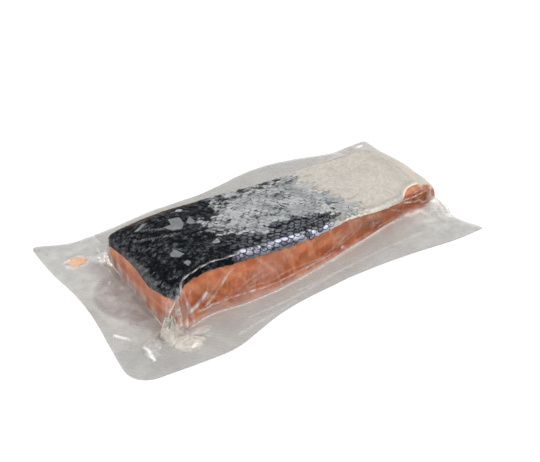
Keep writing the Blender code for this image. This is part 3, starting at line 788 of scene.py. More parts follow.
def skin_material(colours):
    """The skin under and beyond the scales."""
    material, tree, shader, place = start_material("salmon_skin", colours.skin_black)
    tone = mottle(tree, place, 240.0, 2.0, 0.5)
    colour, grain = skin_colour(tree, place, colours, tone, 0.0)
    height = plus(tree, grain, pebbled(tree, place, BELLY_WEAVE), reading(tree, "belly"))
    wet_skin(tree, shader, colour, relief(tree, height, 0.45, 0.0005), 0.40)
    return material


def scale_material(colours):
    """Single scales: silvery discs with dark rims on the back and flank."""
    material, tree, shader, place = start_material("salmon_scales", colours.skin_silver)
    rim = between(tree, reading(tree, "rim"), 0.60, 0.95)
    colour, grain = skin_colour(tree, place, colours, reading(tree, "tone"), rim)
    wet_skin(tree, shader, colour, relief(tree, grain, 0.4, 0.0004), 0.36)
    return material


def film_material(colours, sizes):
    """Clear film: nearly invisible on wet fish, greyer where two layers meet, white where creased and where
    highlights are painted, darker where shade is painted.
    """
    material, tree, shader, place = start_material("clear_film", colours.film)
    haze_and_painted_light = reading(tree, "haze_and_painted_light")
    rim = reading(tree, "rim")
    streaks = mottle(tree, place, 150.0, 4.0, 0.6, stretch=(0.45, 1.0, 1.0), distortion=0.5)
    fine = mottle(tree, place, 480.0, 3.0, 0.6)
    cloud = mottle(tree, place, 30.0, 4.0, 0.6, stretch=(0.7, 1.0, 1.0), distortion=1.0)
    ribs = banded(tree, place, 190.0, 2.5, 1.0, 0.4)

    # White share: milky creases and haze, and the painted highlights.
    white = arithmetic(tree, "MULTIPLY", arithmetic(tree, "MAXIMUM", haze_and_painted_light, 0.0),
                       between(tree, streaks, 0.25, 0.60, 0.55, 1.0), clamp=True)
    # Painted shade: negative haze, drawn in the film shade colour.
    painted_shade = arithmetic(tree, "MULTIPLY", haze_and_painted_light, -1.0, clamp=True)
    stained = arithmetic(tree, "MULTIPLY", reading(tree, "stain"), rim, clamp=True)
    milky = times(tree, rim, between(tree, cloud, 0.46, 0.70, 0.0, 0.34))
    milky = plus(tree, milky, rim, between(tree, ribs, 0.3, 1.0, 0.0, 0.10))
    colour = blend_colour(tree, milky, colours.film, colours.film_milky)
    for share, tint in (
        (stained, colours.film_stain), (painted_shade, colours.film_shade), (white, colours.film_white),
    ):
        colour = blend_colour(tree, share, colour, tint)

    # Two layers of the rim cover more; their grey is partly painted shade and reflection.
    two_layers = between(tree, cloud, 0.25, 0.75, sizes.rim_cover - 0.08, sizes.rim_cover + 0.10)
    two_layers = times(tree, rim, two_layers)
    on_fish = times(tree, arithmetic(tree, "SUBTRACT", 1.0, rim),
                    between(tree, streaks, 0.40, 0.75, 0.0, sizes.fish_cover * 2.5))
    cover = arithmetic(tree, "ADD", two_layers, on_fish)
    for share, most in ((white, 0.85), (stained, 0.25)):
        cover = arithmetic(tree, "ADD", cover, arithmetic(tree, "MULTIPLY", share, most), clamp=True)

    height = plus(tree, fine, ribs, arithmetic(tree, "MULTIPLY", rim, 0.4))
    height = arithmetic(tree, "ADD", height, streaks)
    feed(tree, shader, {
        "Base Color": colour,
        "Alpha": cover,
        "Normal": relief(tree, height, 0.45, 0.0004),
        "Roughness": 0.14,
        "IOR": 1.50,
    })
    return material


def soft_material(name, colour, second, scale, roughness, alpha=None, uneven=0.0006):
    """Curd, scraps and juice: two tones with a wet surface."""
    material, tree, shader, place = start_material(name, colour)
    tint = mottle(tree, place, scale, 4.0, 0.6)
    feed(tree, shader, {
        "Base Color": blend_colour(tree, between(tree, tint, 0.35, 0.68), colour, second),
        "Normal": relief(tree, tint, 0.4, uneven),
        "Roughness": roughness,
    })
    if alpha is not None:
        feed(tree, shader, {"Alpha": arithmetic(tree, "MULTIPLY", reading(tree, "depth"), alpha)})
    return material


# Shapes

def build_flesh(sizes, colours):
    """The portion itself, with its mesh lines close together up the steep sides."""
    step = sizes.mesh_step * 1.5
    gap = sizes.film_gap
    inset = gap * SIDE_GAP_SHARE
    front = inset + spaced((-0.0015, 0.0064, 0.0003), (0.0070, 0.0090, 0.0008))
    back = inset + spaced((-0.0032, 0.0064, 0.0006), (0.0075, 0.0090, 0.0010))
    left = inset + spaced((-0.0006, 0.0024, 0.0003), (0.0032, 0.0140, step))
    right = inset + spaced((-0.0005, 0.0040, 0.0005), (0.0050, 0.0215, step * 0.8))
    x, y = plan(mesh_lines([], left, int(MIDDLE_LENGTH / step), right, []),
                mesh_lines([], front, int(MIDDLE_WIDTH / step), back, []))
    z = fish_height(x, y, gap + FLESH_BELOW_SKIN)
    grain = rumple(x, y, 0.011, 3.0) * 0.00020
    top = in_frame(*leaned(x, y, z), z)
    top = top + surface_normals(top) * grain[..., None] * (z > 0.002)[..., None]
    low = in_frame(x, y, np.full_like(z, FLESH_BOTTOM))
    show("salmon_flesh", closed_sheet("salmon_flesh", top, low), flesh_material(colours), 50)


def skin_front(x, gap):
    """Where the skin's front edge lies: down the front face, then back along the belly notch."""
    drop = curve_through(x, SKIN_DROP)
    share = np.clip(1 - drop / curve_through(x, FRONT_CREST), 0.3, 0.985)
    on_face = front_foot(x) + gap * SIDE_GAP_SHARE + FISH_FRONT_IN + (FRONT_WALL[0] - FISH_FRONT_IN) * share
    on_face = on_face + np.maximum(-drop, 0.0)
    return np.where(x > NOTCH[0][0], np.maximum(on_face, curve_through(x, NOTCH)), on_face)


def skin_surface(gap, rows=230, columns=110):
    """Points and normals of the skin, in rows along the fish and columns from its front edge to the back."""
    along, across = np.meshgrid(np.linspace(0, 1, rows), np.linspace(0, 1, columns), indexing="ij")

    def place_along(y, share):
        start = curve_through(y, SKIN_START)
        return start + (curve_through(y, SKIN_END) - start) * share

    x_front = 0.0100 + 0.1775 * along[:, 0]
    for _ in range(6):
        first = skin_front(x_front, gap)
        x_front = 0.5 * x_front + 0.5 * place_along(first, along[:, 0])
    last = back_foot(x_front) - gap * SIDE_GAP_SHARE - SKIN_SHORT_OF_BACK
    fine = np.linspace(0.0, 1.0, 240)
    y = np.empty_like(along)
    for i in range(rows):
        section = first[i] + (last[i] - first[i]) * fine
        height = fish_height(np.full_like(section, max(x_front[i], 0.004)), section, gap)
        length = np.concatenate([[0.0], np.cumsum(np.hypot(np.diff(section), np.diff(height)))])
        y[i] = np.interp(across[i] * length[-1], length, section)
    x = place_along(y, along)
    z = fish_height(x, y, gap)
    points = in_frame(*leaned(x, y, z), z)
    return points, surface_normals(points)


def laid_on(surface, along, across, lift):
    """Points at shares along and across the skin, lifted off it."""
    points, normals = surface
    rows, columns = points.shape[:2]
    u, v = along * (rows - 1), across * (columns - 1)
    i = np.clip(u.astype(int), 0, rows - 2)
    j = np.clip(v.astype(int), 0, columns - 2)
    u, v = (u - i)[..., None], (v - j)[..., None]

    def mixed(grid):
        near = grid[i, j] * (1 - v) + grid[i, j + 1] * v
        far = grid[i + 1, j] * (1 - v) + grid[i + 1, j + 1] * v
        return near * (1 - u) + far * u

    normal = mixed(normals)
    normal = normal / np.linalg.norm(normal, axis=-1, keepdims=True)
    return mixed(points) + normal * np.asarray(lift)[..., None]


def painted_glint_row(x, y):
    """Share of the row of scales with a painted glint, a highlight painted into their colour, broken here and
    there.
    """
    row = bump(y, curve_through(x, PAINTED_GLINT_ROW), 0.0012)
    row = row * smooth(x, 0.044, 0.052) * (1 - smooth(x, 0.112, 0.120))
    return row * smooth(rumple(x * 0.6, y, 0.005, 31.0), -0.50, -0.20)


def flank_zones(x, y):
    """Shares of dark, silver and cream skin, and of what breaks them up."""
    wander = rumple(x, y, 0.012, 11.0) * 0.006 + rumple(x, y, 0.0040, 12.0) * 0.005
    past_front = y - curve_through(x, SILVER_FRONT)
    from_front = smooth(past_front + wander * 0.7, -0.0040, 0.0040)
    from_left = smooth(x - curve_through(y, SILVER_LEFT) + wander * 2.6, -0.0150, 0.0190)
    silver = from_front * from_left
    past = x - curve_through(y, BELLY_LINE)
    belly = smooth(past + rumple(x * 0.35, y, 0.006, 21.0) * 0.016, -0.009, 0.008)
    flaked = smooth(y, 0.054, 0.066) * (1 - smooth(x, 0.118, 0.134)) * smooth(silver, 0.2, 0.7)
    flaked = np.maximum(flaked, silver * (1 - smooth(x, 0.056, 0.072)) * 0.8)
    calm = smooth(rumple(x, y, 0.016, 91.0), -0.45, -0.05) * smooth(silver, 0.5, 0.9)
    calm = calm * (1 - 0.5 * flaked)
    return {
        "silver": silver,
        "belly": belly,
        "flaked": flaked,
        "calm": calm,
        "marks": np.maximum(1 - 0.92 * calm, flaked) * (1 - belly),
        "fade": 0.7 * smooth(past, -0.012, 0.000) * (1 - smooth(past, 0.002, 0.020)),
        "scaly": smooth(x, 0.048, 0.066) * (1 - smooth(past_front, -0.001, 0.004)),
    }


def edge_zones(x, y, gap):
    """Shares of the skin's edges: the row of painted glints, the back strip, the pale cut edge and the
    painted shade behind it.
    """
    back = back_foot(x) - y
    tan = (1 - smooth(back, 0.0065, 0.0120)) * (1 - smooth(x, 0.040, 0.066)) * smooth(x, 0.000, 0.012)
    far_tan = bump(back, 0.0080, 0.0012) * smooth(x, 0.148, 0.154) * (1 - smooth(x, 0.176, 0.184))
    tan = np.maximum(tan, far_tan * smooth(rumple(x, y, 0.004, 32.0), -0.30, 0.20))
    crest = np.maximum(skin_front(x, gap), front_foot(x) + FRONT_WALL[0] - 0.0006)
    edge = y - crest + 0.92 * curve_through(x, OVERHANG)
    along_edge = smooth(x, 0.108, 0.122)
    # Painted shade: a darker band behind the raised pale lip of the belly skin, and another near the skin's
    # end.
    painted_shade_behind_lip = bump(edge, 0.0040, 0.0014) * along_edge * (0.7 + 0.5 * rumple(x, y, 0.006, 92.0))
    to_end = curve_through(y, SKIN_END) - x
    at_end = 0.45 * bump(to_end, 0.0065, 0.0045) * (0.8 + 0.6 * rumple(x, y, 0.008, 93.0))
    return {
        "row": painted_glint_row(x, y),
        "strip": (1 - smooth(back, 0.0075, 0.0105)) * smooth(x, 0.044, 0.072),
        "tan": tan,
        "lip": (1 - smooth(edge, 0.0010, 0.0021)) * along_edge,
        "painted_shade_behind_lip": np.clip(np.maximum(painted_shade_behind_lip, at_end), 0.0, 1.0),
    }


def keep_zones(mesh, points, gap, twice=False):
    """Keeps the zones of the skin on a mesh whose points these are, upper and lower side alike."""
    x, y = points[..., 0] - PORTION_CORNER[0], points[..., 1] - PORTION_CORNER[1]
    for name, values in (flank_zones(x, y) | edge_zones(x, y, gap)).items():
        values = np.ravel(values)
        store(mesh, name, np.concatenate([values, values]) if twice else values)


def build_skin(sizes, colours):
    """The skin, with a slightly ragged front edge."""
    surface = skin_surface(sizes.film_gap)
    rows = int(SKIN_LENGTH / sizes.mesh_step)
    columns = int(SKIN_WIDTH / sizes.mesh_step)
    along, across = np.meshgrid(np.linspace(0, 1, rows), np.linspace(0, 1, columns), indexing="ij")
    edge_length = 0.188
    ragged = rumple(along * edge_length, across * 0.0, 0.0036, 5.0) * 0.012
    ragged = ragged + rumple(along * edge_length, across * 0.0, 0.0012, 6.0) * 0.006
    across = across + ragged * np.clip(1 - across / 0.05, 0.0, 1.0)
    points = laid_on(surface, along, across, np.full(along.shape, SKIN_LIFT))
    low = laid_on(surface, along, across, np.full(along.shape, SKIN_LIFT - sizes.skin_thickness))
    mesh = closed_sheet("salmon_skin", points, low)
    keep_zones(mesh, points, sizes.film_gap, twice=True)
    show("salmon_skin", mesh, skin_material(colours), 50)


def scale_tree():
    """Geometry Nodes: one flat scale on each point of a level bed, tipped up towards the tail."""
    tree = bpy.data.node_groups.new("scale_coat", "GeometryNodeTree")
    face = tree.interface
    face.new_socket("Bed", in_out="INPUT", socket_type="NodeSocketGeometry")
    for name, value in (("Scale Width", 0.0054), ("Scale Length", 0.0042), ("Thickness", 0.0003),
                        ("Lift", 0.06), ("Size Variation", 0.14)):
        face.new_socket(name, in_out="INPUT", socket_type="NodeSocketFloat").default_value = value
    face.new_socket("Seed", in_out="INPUT", socket_type="NodeSocketInt").default_value = 4
    face.new_socket("Coat", in_out="INPUT", socket_type="NodeSocketMaterial")
    face.new_socket("Scales", in_out="OUTPUT", socket_type="NodeSocketGeometry")
    entry = join(tree, "NodeGroupInput").outputs
    half = join(tree, "ShaderNodeCombineXYZ", {
        0: arithmetic(tree, "MULTIPLY", entry["Scale Width"], 0.5),
        1: arithmetic(tree, "MULTIPLY", entry["Scale Length"], 0.5),
        2: arithmetic(tree, "MULTIPLY", entry["Thickness"], 0.5),
    }).outputs[0]
    ball = join(tree, "GeometryNodeMeshUVSphere", {"Segments": 12, "Rings": 6, "Radius": 1.0})
    ball = ball.outputs["Mesh"]
    spot = join(tree, "GeometryNodeInputPosition").outputs[0]
    parts = join(tree, "ShaderNodeSeparateXYZ", {0: spot}).outputs
    level = join(tree, "ShaderNodeCombineXYZ", {0: parts[0], 1: parts[1], 2: 0.0}).outputs[0]
    off_axis = join(tree, "ShaderNodeVectorMath", {0: level}, operation="LENGTH").outputs["Value"]
    ball = join(tree, "GeometryNodeStoreNamedAttribute", {"Geometry": ball, "Name": "rim", "Value": off_axis},
                data_type="FLOAT", domain="POINT").outputs[0]
    disc = join(tree, "GeometryNodeTransform", {"Geometry": ball, "Scale": half}).outputs[0]
    wobble = join(tree, "FunctionNodeRandomValue", {
        "Min": (-0.03, -0.04, -0.28), "Max": (0.03, 0.04, 0.28), "Seed": entry["Seed"],
    }, data_type="FLOAT_VECTOR").outputs[0]
    tip = arithmetic(tree, "MULTIPLY", entry["Lift"], -1.0)
    tip = join(tree, "ShaderNodeCombineXYZ", {0: tip}).outputs[0]
    turn = join(tree, "ShaderNodeVectorMath", {0: wobble, 1: tip}, operation="ADD").outputs[0]
    turn = join(tree, "FunctionNodeEulerToRotation", {0: turn}).outputs[0]

    def random_number(seed, low, high):
        made = join(tree, "FunctionNodeRandomValue", data_type="FLOAT")
        places = {s.name: n for n, s in enumerate(made.inputs) if s.type in ("VALUE", "INT") and s.enabled}
        feed(tree, made, {places["Min"]: low, places["Max"]: high, places["Seed"]: seed})
        return [s for s in made.outputs if s.type == "VALUE" and s.enabled][0]

    smallest = arithmetic(tree, "SUBTRACT", 1.0, entry["Size Variation"])
    largest = arithmetic(tree, "ADD", 1.0, entry["Size Variation"])
    coat = join(tree, "GeometryNodeInstanceOnPoints", {
        "Points": entry["Bed"], "Instance": disc, "Rotation": turn,
        "Scale": random_number(entry["Seed"], smallest, largest),
    }).outputs[0]
    tone = random_number(arithmetic(tree, "ADD", entry["Seed"], 7.0), 0.0, 1.0)
    coat = join(tree, "GeometryNodeStoreNamedAttribute", {"Geometry": coat, "Name": "tone", "Value": tone},
                data_type="FLOAT", domain="INSTANCE").outputs[0]
    coat = join(tree, "GeometryNodeRealizeInstances", {"Geometry": coat}).outputs[0]
    coat = join(tree, "GeometryNodeSetMaterial", {"Geometry": coat, "Material": entry["Coat"]}).outputs[0]
    join(tree, "NodeGroupOutput", {"Scales": coat})
    return tree


def scale_places(sizes, surface):
    """Staggered, slightly strayed places for the scales: shares along and across the skin, and points."""
    rows = int(SKIN_LENGTH / sizes.scale_pitch_across)
    columns = int(SKIN_WIDTH / sizes.scale_pitch_along)
    along, across = np.meshgrid((np.arange(rows) + 0.5) / rows, (np.arange(columns) + 0.25) / columns,
                                indexing="ij")
    along = along + (np.arange(columns) % 2 - 0.5)[None, :] * 0.5 / rows
    along = along + rumple(along * 0.19, across * 0.08, 0.0051, 43.0) * 0.0045
    across = across + rumple(along * 0.19, across * 0.08, 0.0047, 44.0) * 0.0060
    along, across = along.ravel(), across.ravel()
    points = laid_on(surface, along, across, np.zeros_like(along))
    x, y = points[:, 0] - PORTION_CORNER[0], points[:, 1] - PORTION_CORNER[1]
    keep = (y < back_foot(x) - 0.0095) | (x < 0.052)
    keep &= x < curve_through(y, BELLY_LINE) + 0.002 + 0.006 * rumple(x, y, 0.010, 41.0)
    keep &= (across > 0.012) & (along > 0.014) & (along < 0.985)
    return along[keep], across[keep], points[keep]


def build_scales(sizes, colours):
    """Lays the scales out on a level bed, then bends the finished coat over the skin."""
    surface = skin_surface(sizes.film_gap)
    along, across, points = scale_places(sizes, surface)
    bed = bpy.data.meshes.new("scale_bed")
    flat = np.stack([along * SKIN_LENGTH, across * SKIN_WIDTH, np.zeros_like(along)], -1)
    bed.from_pydata(flat.tolist(), [], [])
    keep_zones(bed, points, sizes.film_gap)
    holder = bpy.data.objects.new("scale_bed", bed)
    bpy.context.scene.collection.objects.link(holder)
    modifier = holder.modifiers.new("Scales", "NODES")
    modifier.node_group = scale_tree()
    sockets = {item.name: item.identifier for item in modifier.node_group.interface.items_tree
               if item.item_type == "SOCKET" and item.in_out == "INPUT"}
    material = scale_material(colours)
    for name, value in (("Scale Width", sizes.scale_width), ("Scale Length", sizes.scale_length),
                        ("Thickness", sizes.scale_thickness), ("Lift", sizes.scale_lift),
                        ("Seed", sizes.seed), ("Coat", material)):
        modifier[sockets[name]] = value
    mesh = as_plain_mesh(holder)
    flat = np.empty(len(mesh.vertices) * 3, np.float32)
    mesh.vertices.foreach_get("co", flat)
    flat = flat.reshape(-1, 3).astype(float)
    bent = laid_on(surface, flat[:, 0] / SKIN_LENGTH, flat[:, 1] / SKIN_WIDTH, flat[:, 2] + SCALE_MIDDLE)
    mesh.vertices.foreach_set("co", bent.astype(np.float32).ravel())
    mesh.update()
    row = painted_glint_row(bent[:, 0] - PORTION_CORNER[0], bent[:, 1] - PORTION_CORNER[1])
    mesh.attributes["row"].data.foreach_set("value", row.astype(np.float32))
    show("salmon_scales", mesh, material)


def build_dry_patches(sizes, colours):
    """Thin flat flakes on the skin, with crisp outlines."""
    gap = sizes.film_gap
    flakes = bmesh.new()
    for outline in DRY_PATCHES:
        flakes.faces.new([flakes.verts.new((x, y, 0.0)) for x, y in outline])
    bmesh.ops.triangulate(flakes, faces=flakes.faces[:])
    bmesh.ops.subdivide_edges(flakes, edges=flakes.edges[:], cuts=4, use_grid_fill=True)
    raised = bmesh.ops.extrude_face_region(flakes, geom=flakes.faces[:])["geom"]
    tops = {v for v in raised if isinstance(v, bmesh.types.BMVert)}
    for vert in flakes.verts:
        x, y = vert.co.x, vert.co.y
        ragged = noise.noise(Vector((x * 500, y * 500, 2.0))) * 0.0004
        z = float(fish_height(np.array(x), np.array(y), gap)) + (PATCH_TOP if vert in tops else PATCH_FOOT)
        vert.co = in_frame(*leaned(np.array(x + ragged), np.array(y - ragged), z), np.array(z)).tolist()
    bmesh.ops.recalc_face_normals(flakes, faces=flakes.faces[:])
    mesh = bpy.data.meshes.new("dry_patches")
    flakes.to_mesh(mesh)
    flakes.free()
    grey = colours.dry_patch
    darker = tuple(value * 0.7 for value in grey)
    show("dry_patches", mesh, soft_material("dry_patch", grey, darker, 160.0, 0.35), 40)


def lens(name, spot, height, seed, rough, turns=96, rings=18):
    """A low closed dome with an uneven outline, and its depth kept for the material."""
    centre_x, centre_y, half_x, half_y = spot
    angle = np.linspace(0, 2 * np.pi, turns, endpoint=False)
    share = np.linspace(0, 1, rings)[1:]
    wavy = 1 + rough * rumple(np.cos(angle), np.sin(angle), 0.8, seed)
    x = centre_x + half_x * np.outer(share, np.cos(angle) * wavy)
    y = centre_y + half_y * np.outer(share, np.sin(angle) * wavy)
    rise = height * (1 - share ** 2)[:, None] * (1 + 0.2 * rumple(x, y, 0.006, seed + 1))
    top = in_frame(x, y, RIM_FLOOR + np.maximum(rise, 0.00002)).reshape(-1, 3)
    low = in_frame(x, y, np.full_like(x, RIM_FLOOR - 0.0001)).reshape(-1, 3)
    tip = in_frame(np.array([centre_x]), np.array([centre_y]), np.array([RIM_FLOOR + height]))
    foot = tip - np.array([[0, 0, height + 0.0001]])
    points = np.concatenate([tip, top, foot, low])
    faces = []
    half = 1 + (rings - 1) * turns
    outer = 1 + (rings - 2) * turns
    for n in range(turns):
        m = (n + 1) % turns
        faces += [(0, 1 + n, 1 + m), (half, half + 1 + m, half + 1 + n)]
        for ring in range(rings - 2):
            a, b = 1 + ring * turns, 1 + (ring + 1) * turns
            faces += [(a + n, b + n, b + m, a + m),
                      (half + a + m, half + b + m, half + b + n, half + a + n)]
        faces.append((outer + n, half + outer + n, half + outer + m, outer + m))
    mesh = bpy.data.meshes.new(name)
    mesh.from_pydata(points.tolist(), [], faces)
    depth = np.concatenate([[1.0], np.repeat(1 - share ** 6, turns)])
    store(mesh, "depth", np.concatenate([depth, depth]))
    return mesh


def clot(x, y, centre_x, centre_y, half_x, half_y, height, turn, seed):
    """Height of a crumpled lump over the rim."""
    across, up = x - centre_x, y - centre_y
    p = (across * math.cos(turn) + up * math.sin(turn)) / half_x
    q = (up * math.cos(turn) - across * math.sin(turn)) / half_y
    uneven = 1 + 0.40 * rumple(x, y, 0.0060, seed, 2)
    dome = np.clip(1 - (p * p + q * q) * uneven, 0.0, 1.0) ** 0.6
    creased = np.abs(rumple(p * half_x, q * half_y * 2.2, 0.0056, seed + 0.5, 2))
    return height * dome * (1.08 - 1.1 * np.clip(creased, 0.0, 0.45))


def heap(x, y, spots):
    """The highest of several crumpled lumps."""
    return np.maximum.reduce([clot(x, y, *spot) for spot in spots])


def clot_mesh(gap):
    """The crumpled lumps of fat, cut off near the floor and closed below."""
    x, y = np.meshgrid(np.linspace(-0.0160, 0.0180, 120), np.linspace(-0.0175, 0.0110, 100), indexing="ij")
    z = heap(x, y, CLOTS) - gap * 0.6
    mesh = bmesh.new()
    grid = closed_sheet("fat_clots", in_frame(x, y, np.maximum(z, CLOT_CUT)),
                        in_frame(x, y, np.zeros_like(x)))
    mesh.from_mesh(grid)
    bare = [f for f in mesh.faces if all(v.co.z <= CLOT_CUT + 0.00005 for v in f.verts)]
    bmesh.ops.delete(mesh, geom=bare, context="FACES")
    bmesh.ops.remove_doubles(mesh, verts=mesh.verts[:], dist=0.00001)
    edges = [e for e in mesh.edges if e.is_boundary]
    sunk = bmesh.ops.extrude_edge_only(mesh, edges=edges)["geom"]
    for vert in [v for v in sunk if isinstance(v, bmesh.types.BMVert)]:
        vert.co.z = CLOT_CUT / 2
    bmesh.ops.holes_fill(mesh, edges=[e for e in mesh.edges if e.is_boundary])
    bmesh.ops.recalc_face_normals(mesh, faces=mesh.faces[:])
    mesh.to_mesh(grid)
    mesh.free()
    return grid


def build_rim_contents(sizes, colours):
    """Juice between the films, a scrap of flesh and clots of white fat."""
    show("juice_pool", lens("juice_pool", POOL, 0.0006, 51.0, 0.09),
         soft_material("juice", colours.juice, colours.juice_pale, 60.0, 0.15, sizes.juice_cover, 0.0001))
    show("flesh_scrap", lens("flesh_scrap", SCRAP, 0.0010, 57.0, 0.40),
         soft_material("scrap", colours.scrap, colours.scrap_pale, 300.0, 0.3, 0.95))
    show("fat_clots", clot_mesh(sizes.film_gap),
         soft_material("fat_clot", colours.curd, colours.curd_shade, 260.0, 0.35), 50)


def crease_relief(points, line, half, rise, white):
    """Rise and whiteness of one crease that runs through the given points."""
    off = np.full(points.shape[:-1], 1.0)
    for start, stop in zip(line, line[1:]):
        run = stop - start
        t = np.clip(((points - start) @ run) / max(float(run @ run), 1e-12), 0.0, 1.0)
        off = np.minimum(off, np.linalg.norm(points - start - t[..., None] * run, axis=-1))
    shape = np.clip(1 - off / half, 0.0, 1.0)
    return rise * shape ** 1.3, white * np.clip(1.35 * shape, 0.0, 1.0)


def fold_height(x, y):
    """Height of the corner tents over the rim."""
    height = np.zeros_like(x)
    wander = 1 + 0.25 * rumple(x, y, 0.004, 61.0)
    for (x0, y0, z0), (x1, y1, z1), half in FOLDS:
        run = np.array((x1 - x0, y1 - y0))
        t = np.clip(((x - x0) * run[0] + (y - y0) * run[1]) / float(run @ run), 0.0, 1.0)
        off = np.hypot(x - x0 - t * run[0], y - y0 - t * run[1])
        crest = z0 + (z1 - z0) * t ** 0.75
        height = np.maximum(height, crest * np.clip(1 - off * wander / half, 0.0, 1.0) ** 1.2)
    return height


def rim_floor(x, y):
    """The lower film: flat under the fish, gently waved towards the edge."""
    out_x = np.maximum(left_foot(y) - x, x - right_foot(y)).clip(0.0)
    out_y = np.maximum(front_foot(x) - y, y - back_foot(x)).clip(0.0)
    away = np.hypot(out_x, out_y)
    wave = 1.0 + 0.6 * np.sin(48 * x + 0.7) + 0.4 * np.sin(71 * y + 1.9)
    return 0.0005 * wave * np.clip(away / 0.018, 0.0, 1.0) ** 2, away


def film_height(x, y, rim_thickness):
    """The upper film over the fish, the corner tents and whatever lies in the rim."""
    base = rim_floor(x, y)[0] + rim_thickness
    over_fish = base + (crown(x, y) - base) * body_share(x, y)
    lumps, bulges = heap(x, y, CLOTS), heap(x, y, BULGES)
    pool = 0.0007 * np.clip(1 - reach(x, y, *POOL) / 1.2, 0.0, 1.0)
    scrap = 0.0012 * np.clip(1 - reach(x, y, *SCRAP_BUMP), 0.0, 1.0) ** 0.7
    folds = fold_height(x, y)
    height = np.maximum(over_fish, base + np.maximum.reduce([folds, lumps, bulges, pool, scrap]))
    return height, lumps, np.maximum(folds, 0.7 * bulges)


def on_film(x, y, rim_thickness):
    """Points on the upper film, the lumps under it and its folds there."""
    height, lumps, folds = film_height(x, y, rim_thickness)
    return np.stack([*leaned(x, y, height), height], -1), lumps, folds


def film_plan(sizes):
    """Places of the film's mesh points, close together up the steep faces."""
    step = sizes.mesh_step * 1.25
    front = spaced((-0.0031, -0.0001, 0.0006), (0.0001, 0.0067, 0.00024), (0.0072, 0.0095, 0.0007))
    back = spaced((-0.0046, 0.0075, 0.0009), (0.0085, 0.0095, 0.0010))
    left = spaced((-0.0012, -0.0003, 0.0003), (-0.0001, 0.0019, 0.00022), (0.0023, 0.0140, 0.0006))
    right = spaced((-0.0008, 0.0050, 0.0006), (0.0060, 0.0215, 0.0011))
    x_lines = mesh_lines(steps(1.0, 0.03, 0.032), left, int(MIDDLE_LENGTH / step), right,
                         steps(1.0, 0.10, 0.10)[::-1])
    y_lines = mesh_lines(steps(1.0, 0.04, 0.042), front, int(MIDDLE_WIDTH / step), back,
                         steps(0.05, 1.0, 0.055))
    return round_corners(*plan(x_lines, y_lines))


def creases():
    """Each crease's places (x, y), half width, rise and whiteness."""
    for table, on_face in ((FACE_CREASES, True), (FILM_CREASES, False)):
        for line, half, rise, white in table:
            along, across = (np.array(column) for column in zip(*line))
            if on_face:
                across = front_foot(along) + FRONT_WALL[0] * across
            yield along, across, half, rise, white


def add_creases(points, lift, haze_and_painted_light, broader, patchy_strength, rim_thickness):
    """Raises the film along its creases and whitens it there, with milky folds and painted highlights; a
    negative whiteness paints shade.
    """
    for along, across, half, rise, white in creases():
        count = len(along)
        fine = np.linspace(0, count - 1, (count - 1) * 5 + 1)
        along = np.interp(fine, np.arange(count), along)
        across = np.interp(fine, np.arange(count), across)
        line = on_film(along, across, rim_thickness)[0]
        rise_here, white_here = crease_relief(points, line, half * broader, rise, white)
        white_here = white_here * patchy_strength
        lift = np.maximum(lift, rise_here)
        haze_and_painted_light = np.where(np.abs(white_here) > np.abs(haze_and_painted_light), white_here, haze_and_painted_light)
    return lift, haze_and_painted_light


def resting_haze(x, y, share, rim, on_clot, folds):
    """Whiteness of the film over the clots and on the corner tents, and up the left cut, where it is partly
    painted light that brightens the cut.
    """
    haze_and_painted_light = on_clot * (0.16 + 0.22 * smooth(rumple(x, y * 2.0, 0.0040, 74.0), 0.00, 0.25))
    on_fold = smooth(folds, 0.0010, 0.0040) * smooth(rim, 0.0, 0.6)
    haze_and_painted_light = np.maximum(haze_and_painted_light, 0.28 * on_fold * smooth(rumple(x, y, 0.0035, 75.0), -0.30, 0.30))
    # Up the left cut the haze is partly milky film and partly painted light that brightens the cut.
    on_left = x < LEFT_CUT_END
    low = on_left * smooth(share, 0.02, 0.08) * (1 - smooth(share, 0.25, 0.60)) * smooth(y, 0.004, 0.012)
    high = on_left * smooth(share, 0.05, 0.2) * (1 - smooth(share, 0.8, 0.9))
    return np.maximum(haze_and_painted_light, (0.30 * low + 0.10 * high) * (1 + 0.8 * rumple(x, y, 0.006, 77.0)))


def add_milky_places(x, y, share, haze_and_painted_light):
    """Whitens the foot of the front face and the places of the two haze tables."""
    face = (y > front_foot(x) - 0.001) & (y < front_foot(x) + 0.0068)
    low_face = (1 - smooth(share, 0.05, 0.24)) * face * (x > 0.004)
    low_face = low_face * smooth(rumple(x, y, 0.005, 79.0), -0.6, 0.3)
    haze_and_painted_light = np.where(haze_and_painted_light < 0, haze_and_painted_light, np.maximum(haze_and_painted_light, 0.20 * low_face))
    uneven = 1 + 0.9 * rumple(x, y, 0.0035, 73.0)
    for *spot, white in FILM_HAZE:
        patch = np.clip(1 - reach(x, y, *spot), 0.0, 1.0) * uneven
        haze_and_painted_light = np.maximum(haze_and_painted_light, white * smooth(patch, 0.0, 0.7))
    uneven = 1 + 0.6 * rumple(x, y, 0.0040, 76.0)
    for *spot, white in FACE_HAZE:
        patch = np.clip(1 - reach(x, share, *spot), 0.0, 1.0) * uneven
        haze_and_painted_light = np.maximum(haze_and_painted_light, white * smooth(patch, 0.0, 0.6) * face)
    return haze_and_painted_light


